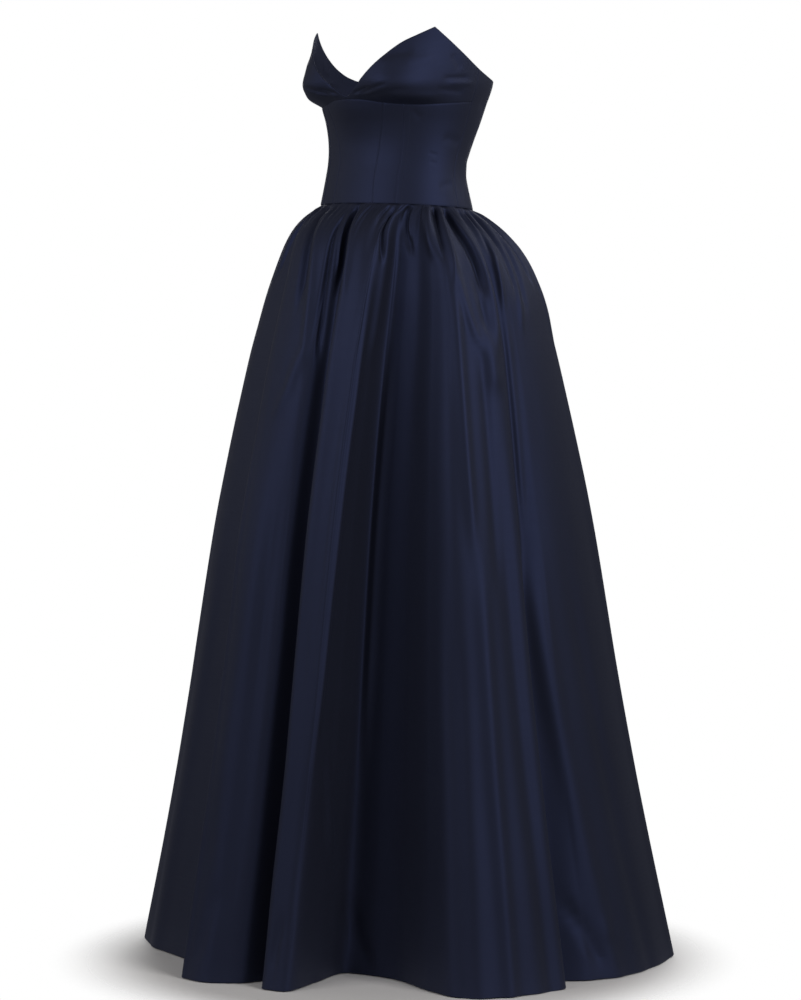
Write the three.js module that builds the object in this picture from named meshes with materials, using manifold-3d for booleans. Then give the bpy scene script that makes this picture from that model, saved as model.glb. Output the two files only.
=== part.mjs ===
// A strapless corset dress with a gathered floor-length skirt, filled out as when it is worn.
// Millimetres, +Z up. The front faces -Y and the wearer's left is +X. The origin is the middle
// of the narrowest waist. A turn is an angle about the body: 0 at the centre front, 90 at the
// wearer's left and 180 at the centre back.
import * as THREE from 'three';
import { mergeVertices } from 'three/addons/utils/BufferGeometryUtils.js';
import Module from 'manifold-3d';

// Driving dimensions
const BODICE_WALL = 2.4;
const SKIRT_WALL = 2.0;
const SEAM_GAP = 0.3;
const SKIRT_LENGTH = 1174;
const HEM_HEIGHT = -1242;
const WAIST_SEAM_HEIGHT = -68;
const WAIST_SEAM_TILT = 7;
const CUP_DEPTH = 27;
const CUP_TURN = 31;
const CUP_INNER_SPREAD = 18;
const CUP_OUTER_SPREAD = 25;
const BREASTBONE_PUSH = 7;
const BREASTBONE_SPREAD = 22;
const BREASTBONE_FOOT = 25;
const BREASTBONE_RISE = 70;
const BACK_TURN = 180;
const PEAK_TURN = 58.5;
const SWAY_TURN = 133;

// Sections of the bodice: an oval of half widths that sits further back where the body leans.
const BODY_SECTIONS = [
  { height: -90, halfWidth: 136, halfDepth: 111, shift: -1.5 },
  { height: -66, halfWidth: 130.5, halfDepth: 105, shift: -1.5 },
  { height: -23, halfWidth: 122.5, halfDepth: 95.5, shift: -1.6 },
  { height: 5, halfWidth: 121.5, halfDepth: 93.5, shift: 2.6 },
  { height: 33, halfWidth: 124.5, halfDepth: 99.5, shift: 9.4 },
  { height: 61, halfWidth: 130, halfDepth: 108.5, shift: 14.4 },
  { height: 88, halfWidth: 136.5, halfDepth: 118.5, shift: 16 },
  { height: 127, halfWidth: 145.5, halfDepth: 130, shift: 19 },
  { height: 217, halfWidth: 148, halfDepth: 131, shift: 20 },
];

// Height of the seam under the cups, by turn to either side of the front.
const UNDERBUST_EDGE = [
  { turn: 0, height: 98 },
  { turn: 12, height: 96.5 },
  { turn: 28, height: 91 },
  { turn: 50, height: 88.5 },
  { turn: 75, height: 91.5 },
  { turn: 96, height: 94 },
];

// Height of the top edge: from the V up to the cup's point, and from there round to the back.
const NECK_EDGE = [
  { turn: 0, height: 102 },
  { turn: 5, height: 108 },
  { turn: 10, height: 119 },
  { turn: 16, height: 134 },
  { turn: 23, height: 152 },
  { turn: 30, height: 168.5 },
  { turn: 38, height: 183.5 },
  { turn: 47, height: 194.5 },
  { turn: PEAK_TURN, height: 207 },
];
const SIDE_EDGE = [
  { turn: PEAK_TURN, height: 207 },
  { turn: 70, height: 185 },
  { turn: 81, height: 165.5 },
  { turn: 90, height: 151.5 },
  { turn: 100, height: 140 },
  { turn: 115, height: 131 },
  { turn: 135, height: 128 },
  { turn: BACK_TURN, height: 127 },
];

// How far the cup stands out, by height above the seam under it.
const CUP_RISE = [
  { rise: 0, share: 0 },
  { rise: 7, share: 0.5 },
  { rise: 17, share: 0.87 },
  { rise: 32, share: 1 },
  { rise: 55, share: 0.76 },
  { rise: 85, share: 0.36 },
  { rise: 127, share: 0.04 },
];

// The corset's long seams, by height. Each is mirrored on the wearer's right.
const PRINCESS_SEAM = [
  { height: -75, turn: 19.2 },
  { height: 0, turn: 18.6 },
  { height: 98, turn: 26.4 },
];
const CHANNEL_SEAM = [
  { height: -75, turn: 36 },
  { height: 0, turn: 37.8 },
  { height: 98, turn: 38.6 },
];
const SIDE_SEAM = [
  { height: -75, turn: 90 },
  { height: 0, turn: 91 },
  { height: 160, turn: 94 },
];

// How far the skirt has swung out from the waist to the hem, by drop below the waist seam, and
// how far its middle hangs towards the wearer's back left.
const FLARE = [
  { drop: 0, share: 0, sway: 0 },
  { drop: 14, share: 0.075, sway: -1 },
  { drop: 29, share: 0.133, sway: -0.5 },
  { drop: 44, share: 0.178, sway: 1 },
  { drop: 64, share: 0.223, sway: 4 },
  { drop: 94, share: 0.271, sway: 7 },
  { drop: 134, share: 0.321, sway: 8.5 },
  { drop: 184, share: 0.369, sway: 8 },
  { drop: 234, share: 0.413, sway: 7 },
  { drop: 334, share: 0.487, sway: 5.5 },
  { drop: 434, share: 0.554, sway: 4 },
  { drop: 534, share: 0.614, sway: 3 },
  { drop: 734, share: 0.722, sway: 3 },
  { drop: 934, share: 0.84, sway: 4 },
  { drop: SKIRT_LENGTH, share: 1, sway: 5 },
];

// The skirt's long folds in plan: where each ridge, flank or hollow leaves the waist, and the
// turn and distance from the axis at which it reaches the hem.
const FOLDS = [
  { fold: 'back seam', waistTurn: -180, hemTurn: -180, hemReach: 380 },
  { fold: 'back right hollow', waistTurn: -170, hemTurn: -170, hemReach: 362 },
  { fold: 'back right ridge', waistTurn: -159, hemTurn: -158, hemReach: 409 },
  { fold: 'back right ridge, outer', waistTurn: -147, hemTurn: -145, hemReach: 416 },
  { fold: 'right rear hollow', waistTurn: -135, hemTurn: -133, hemReach: 368 },
  { fold: 'right rear ridge', waistTurn: -124, hemTurn: -122, hemReach: 412 },
  { fold: 'right rear ridge, front', waistTurn: -110, hemTurn: -106, hemReach: 418 },
  { fold: 'right side hollow', waistTurn: -96, hemTurn: -93, hemReach: 366 },
  { fold: 'right side ridge', waistTurn: -84, hemTurn: -84, hemReach: 410 },
  { fold: 'right side dip', waistTurn: -72, hemTurn: -75, hemReach: 404 },
  { fold: 'front right outer ridge', waistTurn: -58, hemTurn: -62, hemReach: 424 },
  { fold: 'front right outer flank', waistTurn: -48, hemTurn: -48, hemReach: 394 },
  { fold: 'front right hollow', waistTurn: -39, hemTurn: -22, hemReach: 345 },
  { fold: 'front right ridge edge', waistTurn: -32, hemTurn: -12.5, hemReach: 402 },
  { fold: 'front right ridge', waistTurn: -12, hemTurn: -3, hemReach: 388 },
  { fold: 'front right shoulder', waistTurn: 4.5, hemTurn: 1.2, hemReach: 364 },
  { fold: 'front hollow', waistTurn: 12.5, hemTurn: 5.2, hemReach: 316 },
  { fold: 'front ridge edge', waistTurn: 18.5, hemTurn: 9.2, hemReach: 374 },
  { fold: 'front ridge', waistTurn: 27, hemTurn: 12.2, hemReach: 376 },
  { fold: 'front ridge corner', waistTurn: 38, hemTurn: 15.8, hemReach: 371 },
  { fold: 'deep hollow, right wall', waistTurn: 42.5, hemTurn: 17.4, hemReach: 298 },
  { fold: 'deep hollow, right corner', waistTurn: 46.5, hemTurn: 20, hemReach: 214 },
  { fold: 'deep hollow, floor', waistTurn: 52, hemTurn: 32.6, hemReach: 222 },
  { fold: 'deep hollow, left side', waistTurn: 56, hemTurn: 42, hemReach: 248 },
  { fold: 'front left flank', waistTurn: 60.5, hemTurn: 51, hemReach: 332 },
  { fold: 'front left ridge', waistTurn: 65.5, hemTurn: 57.5, hemReach: 394 },
  { fold: 'front left ridge, middle', waistTurn: 73, hemTurn: 67.5, hemReach: 402 },
  { fold: 'front left ridge edge', waistTurn: 82, hemTurn: 81.5, hemReach: 402 },
  { fold: 'left side hollow', waistTurn: 88.5, hemTurn: 85, hemReach: 350 },
  { fold: 'left rear flank', waistTurn: 96, hemTurn: 92.5, hemReach: 385 },
  { fold: 'left rear ridge', waistTurn: 110, hemTurn: 107, hemReach: 419 },
  { fold: 'left rear ridge, outer', waistTurn: 124, hemTurn: 126, hemReach: 430 },
  { fold: 'left rear hollow', waistTurn: 138, hemTurn: 140, hemReach: 374 },
  { fold: 'back left ridge', waistTurn: 149, hemTurn: 151, hemReach: 414 },
  { fold: 'back left ridge, inner', waistTurn: 160, hemTurn: 162, hemReach: 406 },
  { fold: 'back left hollow', waistTurn: 170, hemTurn: 171, hemReach: 364 },
];
const RIGHT_SEAM_FOLD = 7;
const LEFT_SEAM_FOLD = 28;

// The gathers under the waist seam: where each pinch lies, how wide and deep it is, and how far
// down the skirt it runs before it has smoothed out.
const GATHERS = [
  { turn: -166, width: 5.5, depth: 6, reach: 150 },
  { turn: -153, width: 5, depth: 8, reach: 190 },
  { turn: -141, width: 4.5, depth: 5, reach: 110 },
  { turn: -129, width: 5.5, depth: 8.5, reach: 210 },
  { turn: -116, width: 4.5, depth: 6, reach: 120 },
  { turn: -103, width: 5.5, depth: 8, reach: 180 },
  { turn: -90, width: 4.5, depth: 5.5, reach: 100 },
  { turn: -77, width: 5.5, depth: 8, reach: 190 },
  { turn: -65, width: 4.5, depth: 6, reach: 120 },
  { turn: -53, width: 5, depth: 7.5, reach: 160 },
  { turn: -41, width: 4.5, depth: 8.5, reach: 200 },
  { turn: -25, width: 5, depth: 5.5, reach: 90 },
  { turn: -12, width: 4, depth: 6, reach: 100 },
  { turn: -2, width: 3.5, depth: 6, reach: 80 },
  { turn: 8, width: 4, depth: 9, reach: 200 },
  { turn: 24, width: 4, depth: 5, reach: 70 },
  { turn: 35.5, width: 4.5, depth: 8.5, reach: 150 },
  { turn: 49, width: 5, depth: 8, reach: 150 },
  { turn: 66, width: 3.6, depth: 6, reach: 80 },
  { turn: 76, width: 4.5, depth: 8.5, reach: 170 },
  { turn: 91, width: 4.5, depth: 6, reach: 120 },
  { turn: 104, width: 5.5, depth: 8, reach: 170 },
  { turn: 117, width: 4.5, depth: 5.5, reach: 110 },
  { turn: 130, width: 5.5, depth: 8.5, reach: 200 },
  { turn: 143, width: 4.5, depth: 6, reach: 120 },
  { turn: 155, width: 5, depth: 8, reach: 180 },
  { turn: 167, width: 5, depth: 5.5, reach: 130 },
];
const GATHER_AT_SEAM = 0.35;
const GATHER_SWELL = 0.14;

// Drops below the waist seam at which the skirt's wall has a ring, closer where it is gathered
const RING_DROPS = [0, 9, 20, 34, 52, 76, 108, 152, 215, 305, 425, 575, 745, 940, SKIRT_LENGTH];
const COLUMNS_PER_FOLD = 4;

// Rows and columns of points on the bodice's panels
const CORSET_ROWS = 6;
const CUP_ROWS = 8;
const CUP_INNER_COLUMNS = 12;
const CUP_OUTER_COLUMNS = 6;
const FRONT_COLUMNS = 8;
const SIDE_FRONT_COLUMNS = 4;
const SIDE_COLUMNS = 9;
const BACK_COLUMNS = 11;

// Half the gap at a seam as an angle at the bodice, the passes in which a point settles between
// two slanted seams, and the steps over which a surface's direction is measured
const SEAM_HALF_TURN = 0.075;
const SETTLING_PASSES = 4;
const BODICE_STEPS = [0.5, 0.5];
const SKIRT_STEPS = [0.02, 1];
const TAPE_STEPS = [1, 1];

// The zip: a tape inside the centre back seam, and a slider with a hanging pull near its top
const TAPE_HALF_WIDTH = 12;
const TAPE_THICKNESS = 1;
const TAPE_CLEARANCE = 0.75;
const TAPE_COLUMNS = 4;
const TAPE_BARE_ROWS = 2;
const TAPE_DROP = 152;
const SLIDER_HEIGHT = 112;
const SLIDER_DEPTH = 2.2;
const SLIDER_TOP_HALF_WIDTH = 3.6;
const SLIDER_FOOT_HALF_WIDTH = 2.6;
const SLIDER_HALF_LENGTH = 5.5;
const SLIDER_CORNER = 1.3;
const BRIDGE_INNER = 1.1;
const BRIDGE_OUTER = 2.0;
const BRIDGE_WIDTH = 2.0;
const BRIDGE_ROOT = 0.6;
const HINGE_RISE = 1.25;
const PULL_LENGTH = 24;
const PULL_HALF_WIDTH = 2.6;
const PULL_THICKNESS = 1.0;
const PULL_BAR = 1.1;
const PULL_EYE_HALF_WIDTH = 1.45;
const PULL_EYE_DEPTH = 3.1;
const CURVE_STEPS = 8;
const MERGE_DISTANCE = 1e-4;

const satin = new THREE.MeshStandardMaterial({ color: 0x1f2340, roughness: 0.45, metalness: 0 });
const satinCup = new THREE.MeshStandardMaterial({ color: 0x222746, roughness: 0.45, metalness: 0 });
const tapeCloth = new THREE.MeshStandardMaterial({ color: 0x191c33, roughness: 0.8, metalness: 0 });
const zipMetal = new THREE.MeshStandardMaterial({ color: 0x23273f, roughness: 0.35, metalness: 0.6 });

const radians = THREE.MathUtils.degToRad;
const mix = THREE.MathUtils.lerp;

// Reads a column of a table at any key, along a smooth curve through its rows.
function along(rows, key, column, at) {
  const last = rows.length - 1;
  if (at <= rows[0][key]) return rows[0][column];
  if (at >= rows[last][key]) return rows[last][column];
  let i = 0;
  while (at > rows[i + 1][key]) i += 1;
  const slope = (row) => {
    const before = rows[Math.max(row - 1, 0)];
    const after = rows[Math.min(row + 1, last)];
    return (after[column] - before[column]) / (after[key] - before[key]);
  };
  const span = rows[i + 1][key] - rows[i][key];
  const t = (at - rows[i][key]) / span;
  const start = rows[i][column] * (2 * t ** 3 - 3 * t ** 2 + 1);
  const end = rows[i + 1][column] * (3 * t ** 2 - 2 * t ** 3);
  const leaving = slope(i) * span * (t ** 3 - 2 * t ** 2 + t);
  const arriving = slope(i + 1) * span * (t ** 3 - t ** 2);
  return start + end + leaving + arriving;
}

const underbustHeight = (turn) => along(UNDERBUST_EDGE, 'turn', 'height', Math.abs(turn));
const topHeight = (turn) => {
  return along(Math.abs(turn) < PEAK_TURN ? NECK_EDGE : SIDE_EDGE, 'turn', 'height', Math.abs(turn));
};
const waistSeamHeight = (turn) => WAIST_SEAM_HEIGHT + WAIST_SEAM_TILT * Math.cos(radians(turn));
const smooth = (t) => THREE.MathUtils.smoothstep(t, 0, 1);

// A bell of height 1 about a middle, spread by a width.
function bell(at, middle, width) {
  return Math.exp(-(((at - middle) / width) ** 2));
}

// The bodice's outer face at a turn and height, standing out over the cups where inCup is true.
function bodicePoint(turn, height, inCup) {
  const halfWidth = along(BODY_SECTIONS, 'height', 'halfWidth', height);
  const halfDepth = along(BODY_SECTIONS, 'height', 'halfDepth', height);
  const shift = along(BODY_SECTIONS, 'height', 'shift', height);
  const up = smooth((height - BREASTBONE_FOOT) / BREASTBONE_RISE);
  let push = BREASTBONE_PUSH * bell(turn, 0, BREASTBONE_SPREAD) * up;
  if (inCup) {
    const rise = height - underbustHeight(turn);
    const share = along(CUP_RISE, 'rise', 'share', rise);
    const spread = Math.abs(turn) < CUP_TURN ? CUP_INNER_SPREAD : CUP_OUTER_SPREAD;
    push += CUP_DEPTH * share * bell(Math.abs(turn), CUP_TURN, spread);
  }
  const angle = radians(turn);
  return new THREE.Vector3(
    (halfWidth + push) * Math.sin(angle),
    shift - (halfDepth + push) * Math.cos(angle),
    height,
  );
}

// How deep the gathers pinch the skirt at a turn and a drop below the waist seam.
function gatherDepth(turn, drop) {
  let depth = 0;
  for (const gather of GATHERS) {
    const down = drop / gather.reach;
    if (down < 1) {
      const swell = mix(GATHER_AT_SEAM, 1, smooth(down / GATHER_SWELL));
      depth += gather.depth * swell * (1 - smooth(down)) * bell(turn, gather.turn, gather.width);
    }
  }
  return depth;
}

// A fold's place in plan at a drop below the waist seam.
function foldPoint(fold, drop) {
  const share = along(FLARE, 'drop', 'share', drop);
  const sway = along(FLARE, 'drop', 'sway', drop);
  const waist = bodicePoint(fold.waistTurn, waistSeamHeight(fold.waistTurn), false);
  const hem = new THREE.Vector3(Math.sin(radians(fold.hemTurn)), -Math.cos(radians(fold.hemTurn)), 0);
  const point = waist.lerp(hem.multiplyScalar(fold.hemReach), share).setZ(0);
  point.x += sway * Math.sin(radians(SWAY_TURN));
  point.y -= sway * Math.cos(radians(SWAY_TURN));
  return point;
}

// Section curves by drop, kept so that each ring is worked out once.
const sections = new Map();
function sectionAt(drop) {
  if (!sections.has(drop)) {
    const points = FOLDS.map((fold) => foldPoint(fold, drop));
    sections.set(drop, new THREE.CatmullRomCurve3(points, true, 'centripetal'));
  }
  return sections.get(drop);
}

// The turn at the waist of a place along the folds, where whole numbers are rows of FOLDS.
function waistTurnAt(place) {
  const row = Math.floor(place);
  const near = FOLDS[row % FOLDS.length].waistTurn;
  const far = row + 1 < FOLDS.length ? FOLDS[row + 1].waistTurn : BACK_TURN;
  return mix(near, far, place - row);
}

// The skirt's outer face at a place along the folds and a drop below the waist seam.
function skirtPoint(place, drop) {
  const point = sectionAt(drop).getPoint((place / FOLDS.length) % 1);
  const turn = waistTurnAt(place);
  const pinch = gatherDepth(turn, drop);
  const length = Math.hypot(point.x, point.y);
  const seam = waistSeamHeight(turn);
  point.x -= (pinch * point.x) / length;
  point.y -= (pinch * point.y) / length;
  point.z = seam - SEAM_GAP / 2 + ((HEM_HEIGHT - seam) * drop) / SKIRT_LENGTH;
  return point;
}

// A closed wall from a grid of outer points and the matching grid of inner points. Columns run
// to the wearer's left and rows run up.
function wallGeometry(outer, inner) {
  const columns = outer.length;
  const rows = outer[0].length;
  const last = columns - 1;
  const positions = [...outer.flat(), ...inner.flat()].flatMap((point) => point.toArray());
  const index = [];
  const at = (side, column, row) => side * columns * rows + column * rows + row;
  const quad = (a, b, c, d) => index.push(a, b, c, a, c, d);
  for (let i = 0; i < last; i += 1) {
    for (let j = 0; j < rows - 1; j += 1) {
      quad(at(0, i, j), at(0, i + 1, j), at(0, i + 1, j + 1), at(0, i, j + 1));
      quad(at(1, i, j), at(1, i, j + 1), at(1, i + 1, j + 1), at(1, i + 1, j));
    }
    quad(at(1, i, 0), at(1, i + 1, 0), at(0, i + 1, 0), at(0, i, 0));
    quad(at(0, i, rows - 1), at(0, i + 1, rows - 1), at(1, i + 1, rows - 1), at(1, i, rows - 1));
  }
  for (let j = 0; j < rows - 1; j += 1) {
    quad(at(1, 0, j), at(0, 0, j), at(0, 0, j + 1), at(1, 0, j + 1));
    quad(at(1, last, j), at(1, last, j + 1), at(0, last, j + 1), at(0, last, j));
  }
  const geometry = new THREE.BufferGeometry();
  geometry.setAttribute('position', new THREE.Float32BufferAttribute(positions, 3));
  geometry.setIndex(index);
  geometry.computeVertexNormals();
  return geometry;
}

// The outward direction of a surface given as a function of two numbers, by small steps of each.
function outward(surface, u, v, stepU, stepV) {
  const across = surface(u + stepU, v).sub(surface(u - stepU, v));
  const up = surface(u, v + stepV).sub(surface(u, v - stepV));
  return across.cross(up).normalize();
}

// A named mesh of the wall between two depths under a surface, on a grid of places. The inner
// points of the first and last rows stay at the height of the outer ones, so that edges are level.
function wallMesh(name, material, grid, surface, steps, depths) {
  const offset = (depth) => grid.map((column) => column.map(([u, v], row) => {
    const normal = outward(surface, u, v, steps[0], steps[1]);
    const point = surface(u, v);
    if (row === 0 || row === column.length - 1) {
      normal.setZ(0).normalize();
    }
    return point.addScaledVector(normal, -depth);
  }));
  const mesh = new THREE.Mesh(wallGeometry(offset(depths[0]), offset(depths[1])), material);
  mesh.name = name;
  return mesh;
}

// A bodice panel on a ladder of seams, each a function of height, with a number of columns to
// each, and a ladder of edges, each a function of turn, with a number of rows up to each. It
// stops short of its outermost seams and edges.
function bodicePanel(name, material, panel) {
  const { seams, columns, edges, rows, inCup } = panel;
  const heightAt = (turn, step, share) => {
    const low = edges[step](turn) + (step === 0 ? SEAM_GAP / 2 : 0);
    const high = edges[step + 1](turn) - (step === rows.length - 1 ? SEAM_GAP / 2 : 0);
    return mix(low, high, share);
  };
  const rungs = (counts) => {
    const places = [[0, 0]];
    counts.forEach((count, step) => {
      for (let i = 1; i <= count; i += 1) places.push([step, i / count]);
    });
    return places;
  };
  const place = ([side, across], [step, up]) => {
    let turn = mix(seams[side](0), seams[side + 1](0), across);
    for (let pass = 0; pass < SETTLING_PASSES; pass += 1) {
      const height = heightAt(turn, step, up);
      turn = mix(seams[side](height), seams[side + 1](height), across);
    }
    return [turn, heightAt(turn, step, up)];
  };
  const grid = rungs(columns).map((column) => rungs(rows).map((row) => place(column, row)));
  const surface = (turn, height) => bodicePoint(turn, height, inCup);
  return wallMesh(name, material, grid, surface, BODICE_STEPS, [0, BODICE_WALL]);
}

// The turn of a seam on one side of the body, inset to the panel before or after it.
const seamTurn = (rows, side, inset) => (height) => {
  return side * (along(rows, 'height', 'turn', height) + inset * SEAM_HALF_TURN);
};
const fixedTurn = (turn) => () => turn;

function bodicePanels() {
  const panels = new THREE.Group();
  const span = { edges: [waistSeamHeight, underbustHeight], rows: [CORSET_ROWS], inCup: false };
  const cup = { edges: [underbustHeight, topHeight], rows: [CUP_ROWS], inCup: true };
  const full = {
    edges: [waistSeamHeight, underbustHeight, topHeight],
    rows: [CORSET_ROWS, CUP_ROWS],
    inCup: false,
  };
  panels.add(bodicePanel('corset_front', satin, {
    ...span,
    seams: [seamTurn(PRINCESS_SEAM, -1, -1), seamTurn(PRINCESS_SEAM, 1, -1)],
    columns: [FRONT_COLUMNS],
  }));
  for (const [side, word] of [[1, 'left'], [-1, 'right']]) {
    const add = (name, material, shape, seams, columns) => {
      const ordered = side > 0 ? [seams, columns] : [[...seams].reverse(), [...columns].reverse()];
      panels.add(bodicePanel(`${name}_${word}`, material, {
        ...shape,
        seams: ordered[0],
        columns: ordered[1],
      }));
    };
    const princessOuter = seamTurn(PRINCESS_SEAM, side, 1);
    const channelInner = seamTurn(CHANNEL_SEAM, side, -1);
    const channelOuter = seamTurn(CHANNEL_SEAM, side, 1);
    const sideInner = seamTurn(SIDE_SEAM, side, -1);
    const sideOuter = seamTurn(SIDE_SEAM, side, 1);
    const centreFront = fixedTurn(side * SEAM_HALF_TURN);
    const centreBack = fixedTurn(side * (BACK_TURN - SEAM_HALF_TURN));
    const peak = fixedTurn(side * PEAK_TURN);
    const cupColumns = [CUP_INNER_COLUMNS, CUP_OUTER_COLUMNS];
    add('cup', satinCup, cup, [centreFront, peak, sideInner], cupColumns);
    add('corset_side_front', satin, span, [princessOuter, channelInner], [SIDE_FRONT_COLUMNS]);
    add('corset_side', satin, span, [channelOuter, sideInner], [SIDE_COLUMNS]);
    add('corset_back', satin, full, [sideOuter, centreBack], [BACK_COLUMNS]);
  }
  return panels;
}

// A skirt panel between two rows of FOLDS, which are its seams. It stops short of both. Its
// columns run to the wearer's left, and its rows rise from the hem, each at a negative drop.
function skirtPanel(name, fromFold, toFold) {
  const surface = (place, rise) => {
    return skirtPoint((place + FOLDS.length) % FOLDS.length, Math.max(-rise, 0));
  };
  const insetAt = (place, rise) => {
    const span = surface(place + SKIRT_STEPS[0], rise).distanceTo(surface(place, rise));
    return (SEAM_GAP / 2 / span) * SKIRT_STEPS[0];
  };
  const columns = (toFold - fromFold) * COLUMNS_PER_FOLD;
  const rises = RING_DROPS.map((drop) => -drop).reverse();
  const grid = [];
  for (let i = 0; i <= columns; i += 1) {
    const place = mix(fromFold, toFold, i / columns);
    const inward = i === 0 ? 1 : i === columns ? -1 : 0;
    grid.push(rises.map((rise) => [place + inward * insetAt(place, rise), rise]));
  }
  return wallMesh(name, satin, grid, surface, SKIRT_STEPS, [0, SKIRT_WALL]);
}

function skirtPanels() {
  const panels = new THREE.Group();
  panels.add(skirtPanel('skirt_back_right', 0, RIGHT_SEAM_FOLD));
  panels.add(skirtPanel('skirt_front', RIGHT_SEAM_FOLD, LEFT_SEAM_FOLD));
  panels.add(skirtPanel('skirt_back_left', LEFT_SEAM_FOLD, FOLDS.length));
  return panels;
}

// The outer face at the centre back, across in millimetres from the seam, at any height.
function centreBackPoint(across, height) {
  if (height >= waistSeamHeight(BACK_TURN)) {
    const halfWidth = along(BODY_SECTIONS, 'height', 'halfWidth', height);
    const aside = THREE.MathUtils.radToDeg(Math.asin(across / halfWidth));
    return bodicePoint(BACK_TURN - aside, height, false);
  }
  const drop = waistSeamHeight(BACK_TURN) - height;
  const pace = skirtPoint(1, drop).distanceTo(skirtPoint(0, drop));
  return skirtPoint((FOLDS.length - across / pace) % FOLDS.length, drop);
}

// Heights of the tape's rows, which are those of the panels it lies on.
function tapeHeights() {
  const seam = waistSeamHeight(BACK_TURN);
  const middle = underbustHeight(BACK_TURN);
  const top = topHeight(BACK_TURN);
  const below = RING_DROPS.filter((drop) => drop <= TAPE_DROP).map((drop) => seam - drop).reverse();
  const rungs = (count, low, high, steps) => {
    return Array.from({ length: count }, (_, row) => mix(low, high, (row + 1) / steps));
  };
  return [
    ...below,
    ...rungs(CORSET_ROWS, seam, middle, CORSET_ROWS),
    ...rungs(CUP_ROWS - TAPE_BARE_ROWS, middle, top, CUP_ROWS),
  ];
}

function zipTape() {
  const heights = tapeHeights();
  const grid = [];
  for (let i = 0; i <= TAPE_COLUMNS; i += 1) {
    const aside = mix(-TAPE_HALF_WIDTH, TAPE_HALF_WIDTH, i / TAPE_COLUMNS);
    grid.push(heights.map((height) => [aside, height]));
  }
  const depth = BODICE_WALL + TAPE_CLEARANCE;
  const surface = (aside, height) => centreBackPoint(-aside, height);
  return wallMesh('zip_tape', tapeCloth, grid, surface, TAPE_STEPS, [depth, depth + TAPE_THICKNESS]);
}

// A closed geometry as a solid that can be joined to another.
function solidOf(wasm, geometry) {
  const bare = geometry.clone();
  bare.deleteAttribute('normal');
  bare.deleteAttribute('uv');
  const merged = mergeVertices(bare, MERGE_DISTANCE);
  return new wasm.Manifold(new wasm.Mesh({
    numProp: 3,
    vertProperties: Float32Array.from(merged.attributes.position.array),
    triVerts: Uint32Array.from(merged.index.array),
  }));
}

function geometryOf(solid) {
  const { vertProperties, triVerts } = solid.getMesh();
  const geometry = new THREE.BufferGeometry();
  geometry.setAttribute('position', new THREE.Float32BufferAttribute(vertProperties, 3));
  geometry.setIndex(Array.from(triVerts));
  geometry.computeVertexNormals();
  return geometry;
}

// The slider's plate and the bridge that stands on it. Here X runs across the zip, Y up it and
// Z away from the cloth, from the plate's back face.
async function sliderGeometry() {
  const wasm = await Module();
  wasm.setup();
  const top = SLIDER_TOP_HALF_WIDTH;
  const foot = SLIDER_FOOT_HALF_WIDTH;
  const end = SLIDER_HALF_LENGTH;
  const plate = new THREE.Shape();
  plate.moveTo(-foot + SLIDER_CORNER, -end);
  plate.lineTo(foot - SLIDER_CORNER, -end);
  plate.quadraticCurveTo(foot, -end, foot, -end + SLIDER_CORNER);
  plate.lineTo(top, end - SLIDER_CORNER);
  plate.quadraticCurveTo(top, end, top - SLIDER_CORNER, end);
  plate.lineTo(-top + SLIDER_CORNER, end);
  plate.quadraticCurveTo(-top, end, -top, end - SLIDER_CORNER);
  plate.lineTo(-foot, -end + SLIDER_CORNER);
  plate.quadraticCurveTo(-foot, -end, -foot + SLIDER_CORNER, -end);
  const plateSolid = new THREE.ExtrudeGeometry(plate, {
    depth: SLIDER_DEPTH, bevelEnabled: false, curveSegments: CURVE_STEPS / 2,
  });
  const bridge = new THREE.Shape();
  bridge.moveTo(-BRIDGE_OUTER, -HINGE_RISE - BRIDGE_ROOT);
  bridge.lineTo(BRIDGE_OUTER, -HINGE_RISE - BRIDGE_ROOT);
  bridge.absarc(0, 0, BRIDGE_OUTER, 0, Math.PI, false);
  bridge.lineTo(-BRIDGE_OUTER, -HINGE_RISE - BRIDGE_ROOT);
  const eye = new THREE.Path();
  eye.absarc(0, 0, BRIDGE_INNER, 0, 2 * Math.PI, true);
  bridge.holes.push(eye);
  const bridgeSolid = new THREE.ExtrudeGeometry(bridge, {
    depth: BRIDGE_WIDTH, bevelEnabled: false, curveSegments: CURVE_STEPS,
  });
  bridgeSolid.translate(0, 0, -BRIDGE_WIDTH / 2);
  bridgeSolid.applyMatrix4(new THREE.Matrix4().makeBasis(
    new THREE.Vector3(0, 1, 0), new THREE.Vector3(0, 0, 1), new THREE.Vector3(1, 0, 0),
  ));
  bridgeSolid.translate(0, 0, SLIDER_DEPTH + HINGE_RISE);
  return geometryOf(solidOf(wasm, plateSolid).add(solidOf(wasm, bridgeSolid)));
}

// The pull, hanging from its bar, whose middle is at the origin. It faces along Z.
function pullGeometry() {
  const outline = new THREE.Shape();
  outline.moveTo(-PULL_HALF_WIDTH, PULL_BAR / 2);
  outline.lineTo(-PULL_HALF_WIDTH, PULL_HALF_WIDTH - PULL_LENGTH);
  outline.absarc(0, PULL_HALF_WIDTH - PULL_LENGTH, PULL_HALF_WIDTH, Math.PI, 2 * Math.PI, false);
  outline.lineTo(PULL_HALF_WIDTH, PULL_BAR / 2);
  const eye = new THREE.Path();
  eye.moveTo(-PULL_EYE_HALF_WIDTH, -PULL_BAR / 2);
  eye.lineTo(PULL_EYE_HALF_WIDTH, -PULL_BAR / 2);
  eye.lineTo(PULL_EYE_HALF_WIDTH, -PULL_EYE_DEPTH);
  eye.lineTo(-PULL_EYE_HALF_WIDTH, -PULL_EYE_DEPTH);
  outline.holes.push(eye);
  const geometry = new THREE.ExtrudeGeometry(outline, {
    depth: PULL_THICKNESS, bevelEnabled: false, curveSegments: CURVE_STEPS,
  });
  return geometry.translate(0, 0, -PULL_THICKNESS / 2);
}

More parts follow.
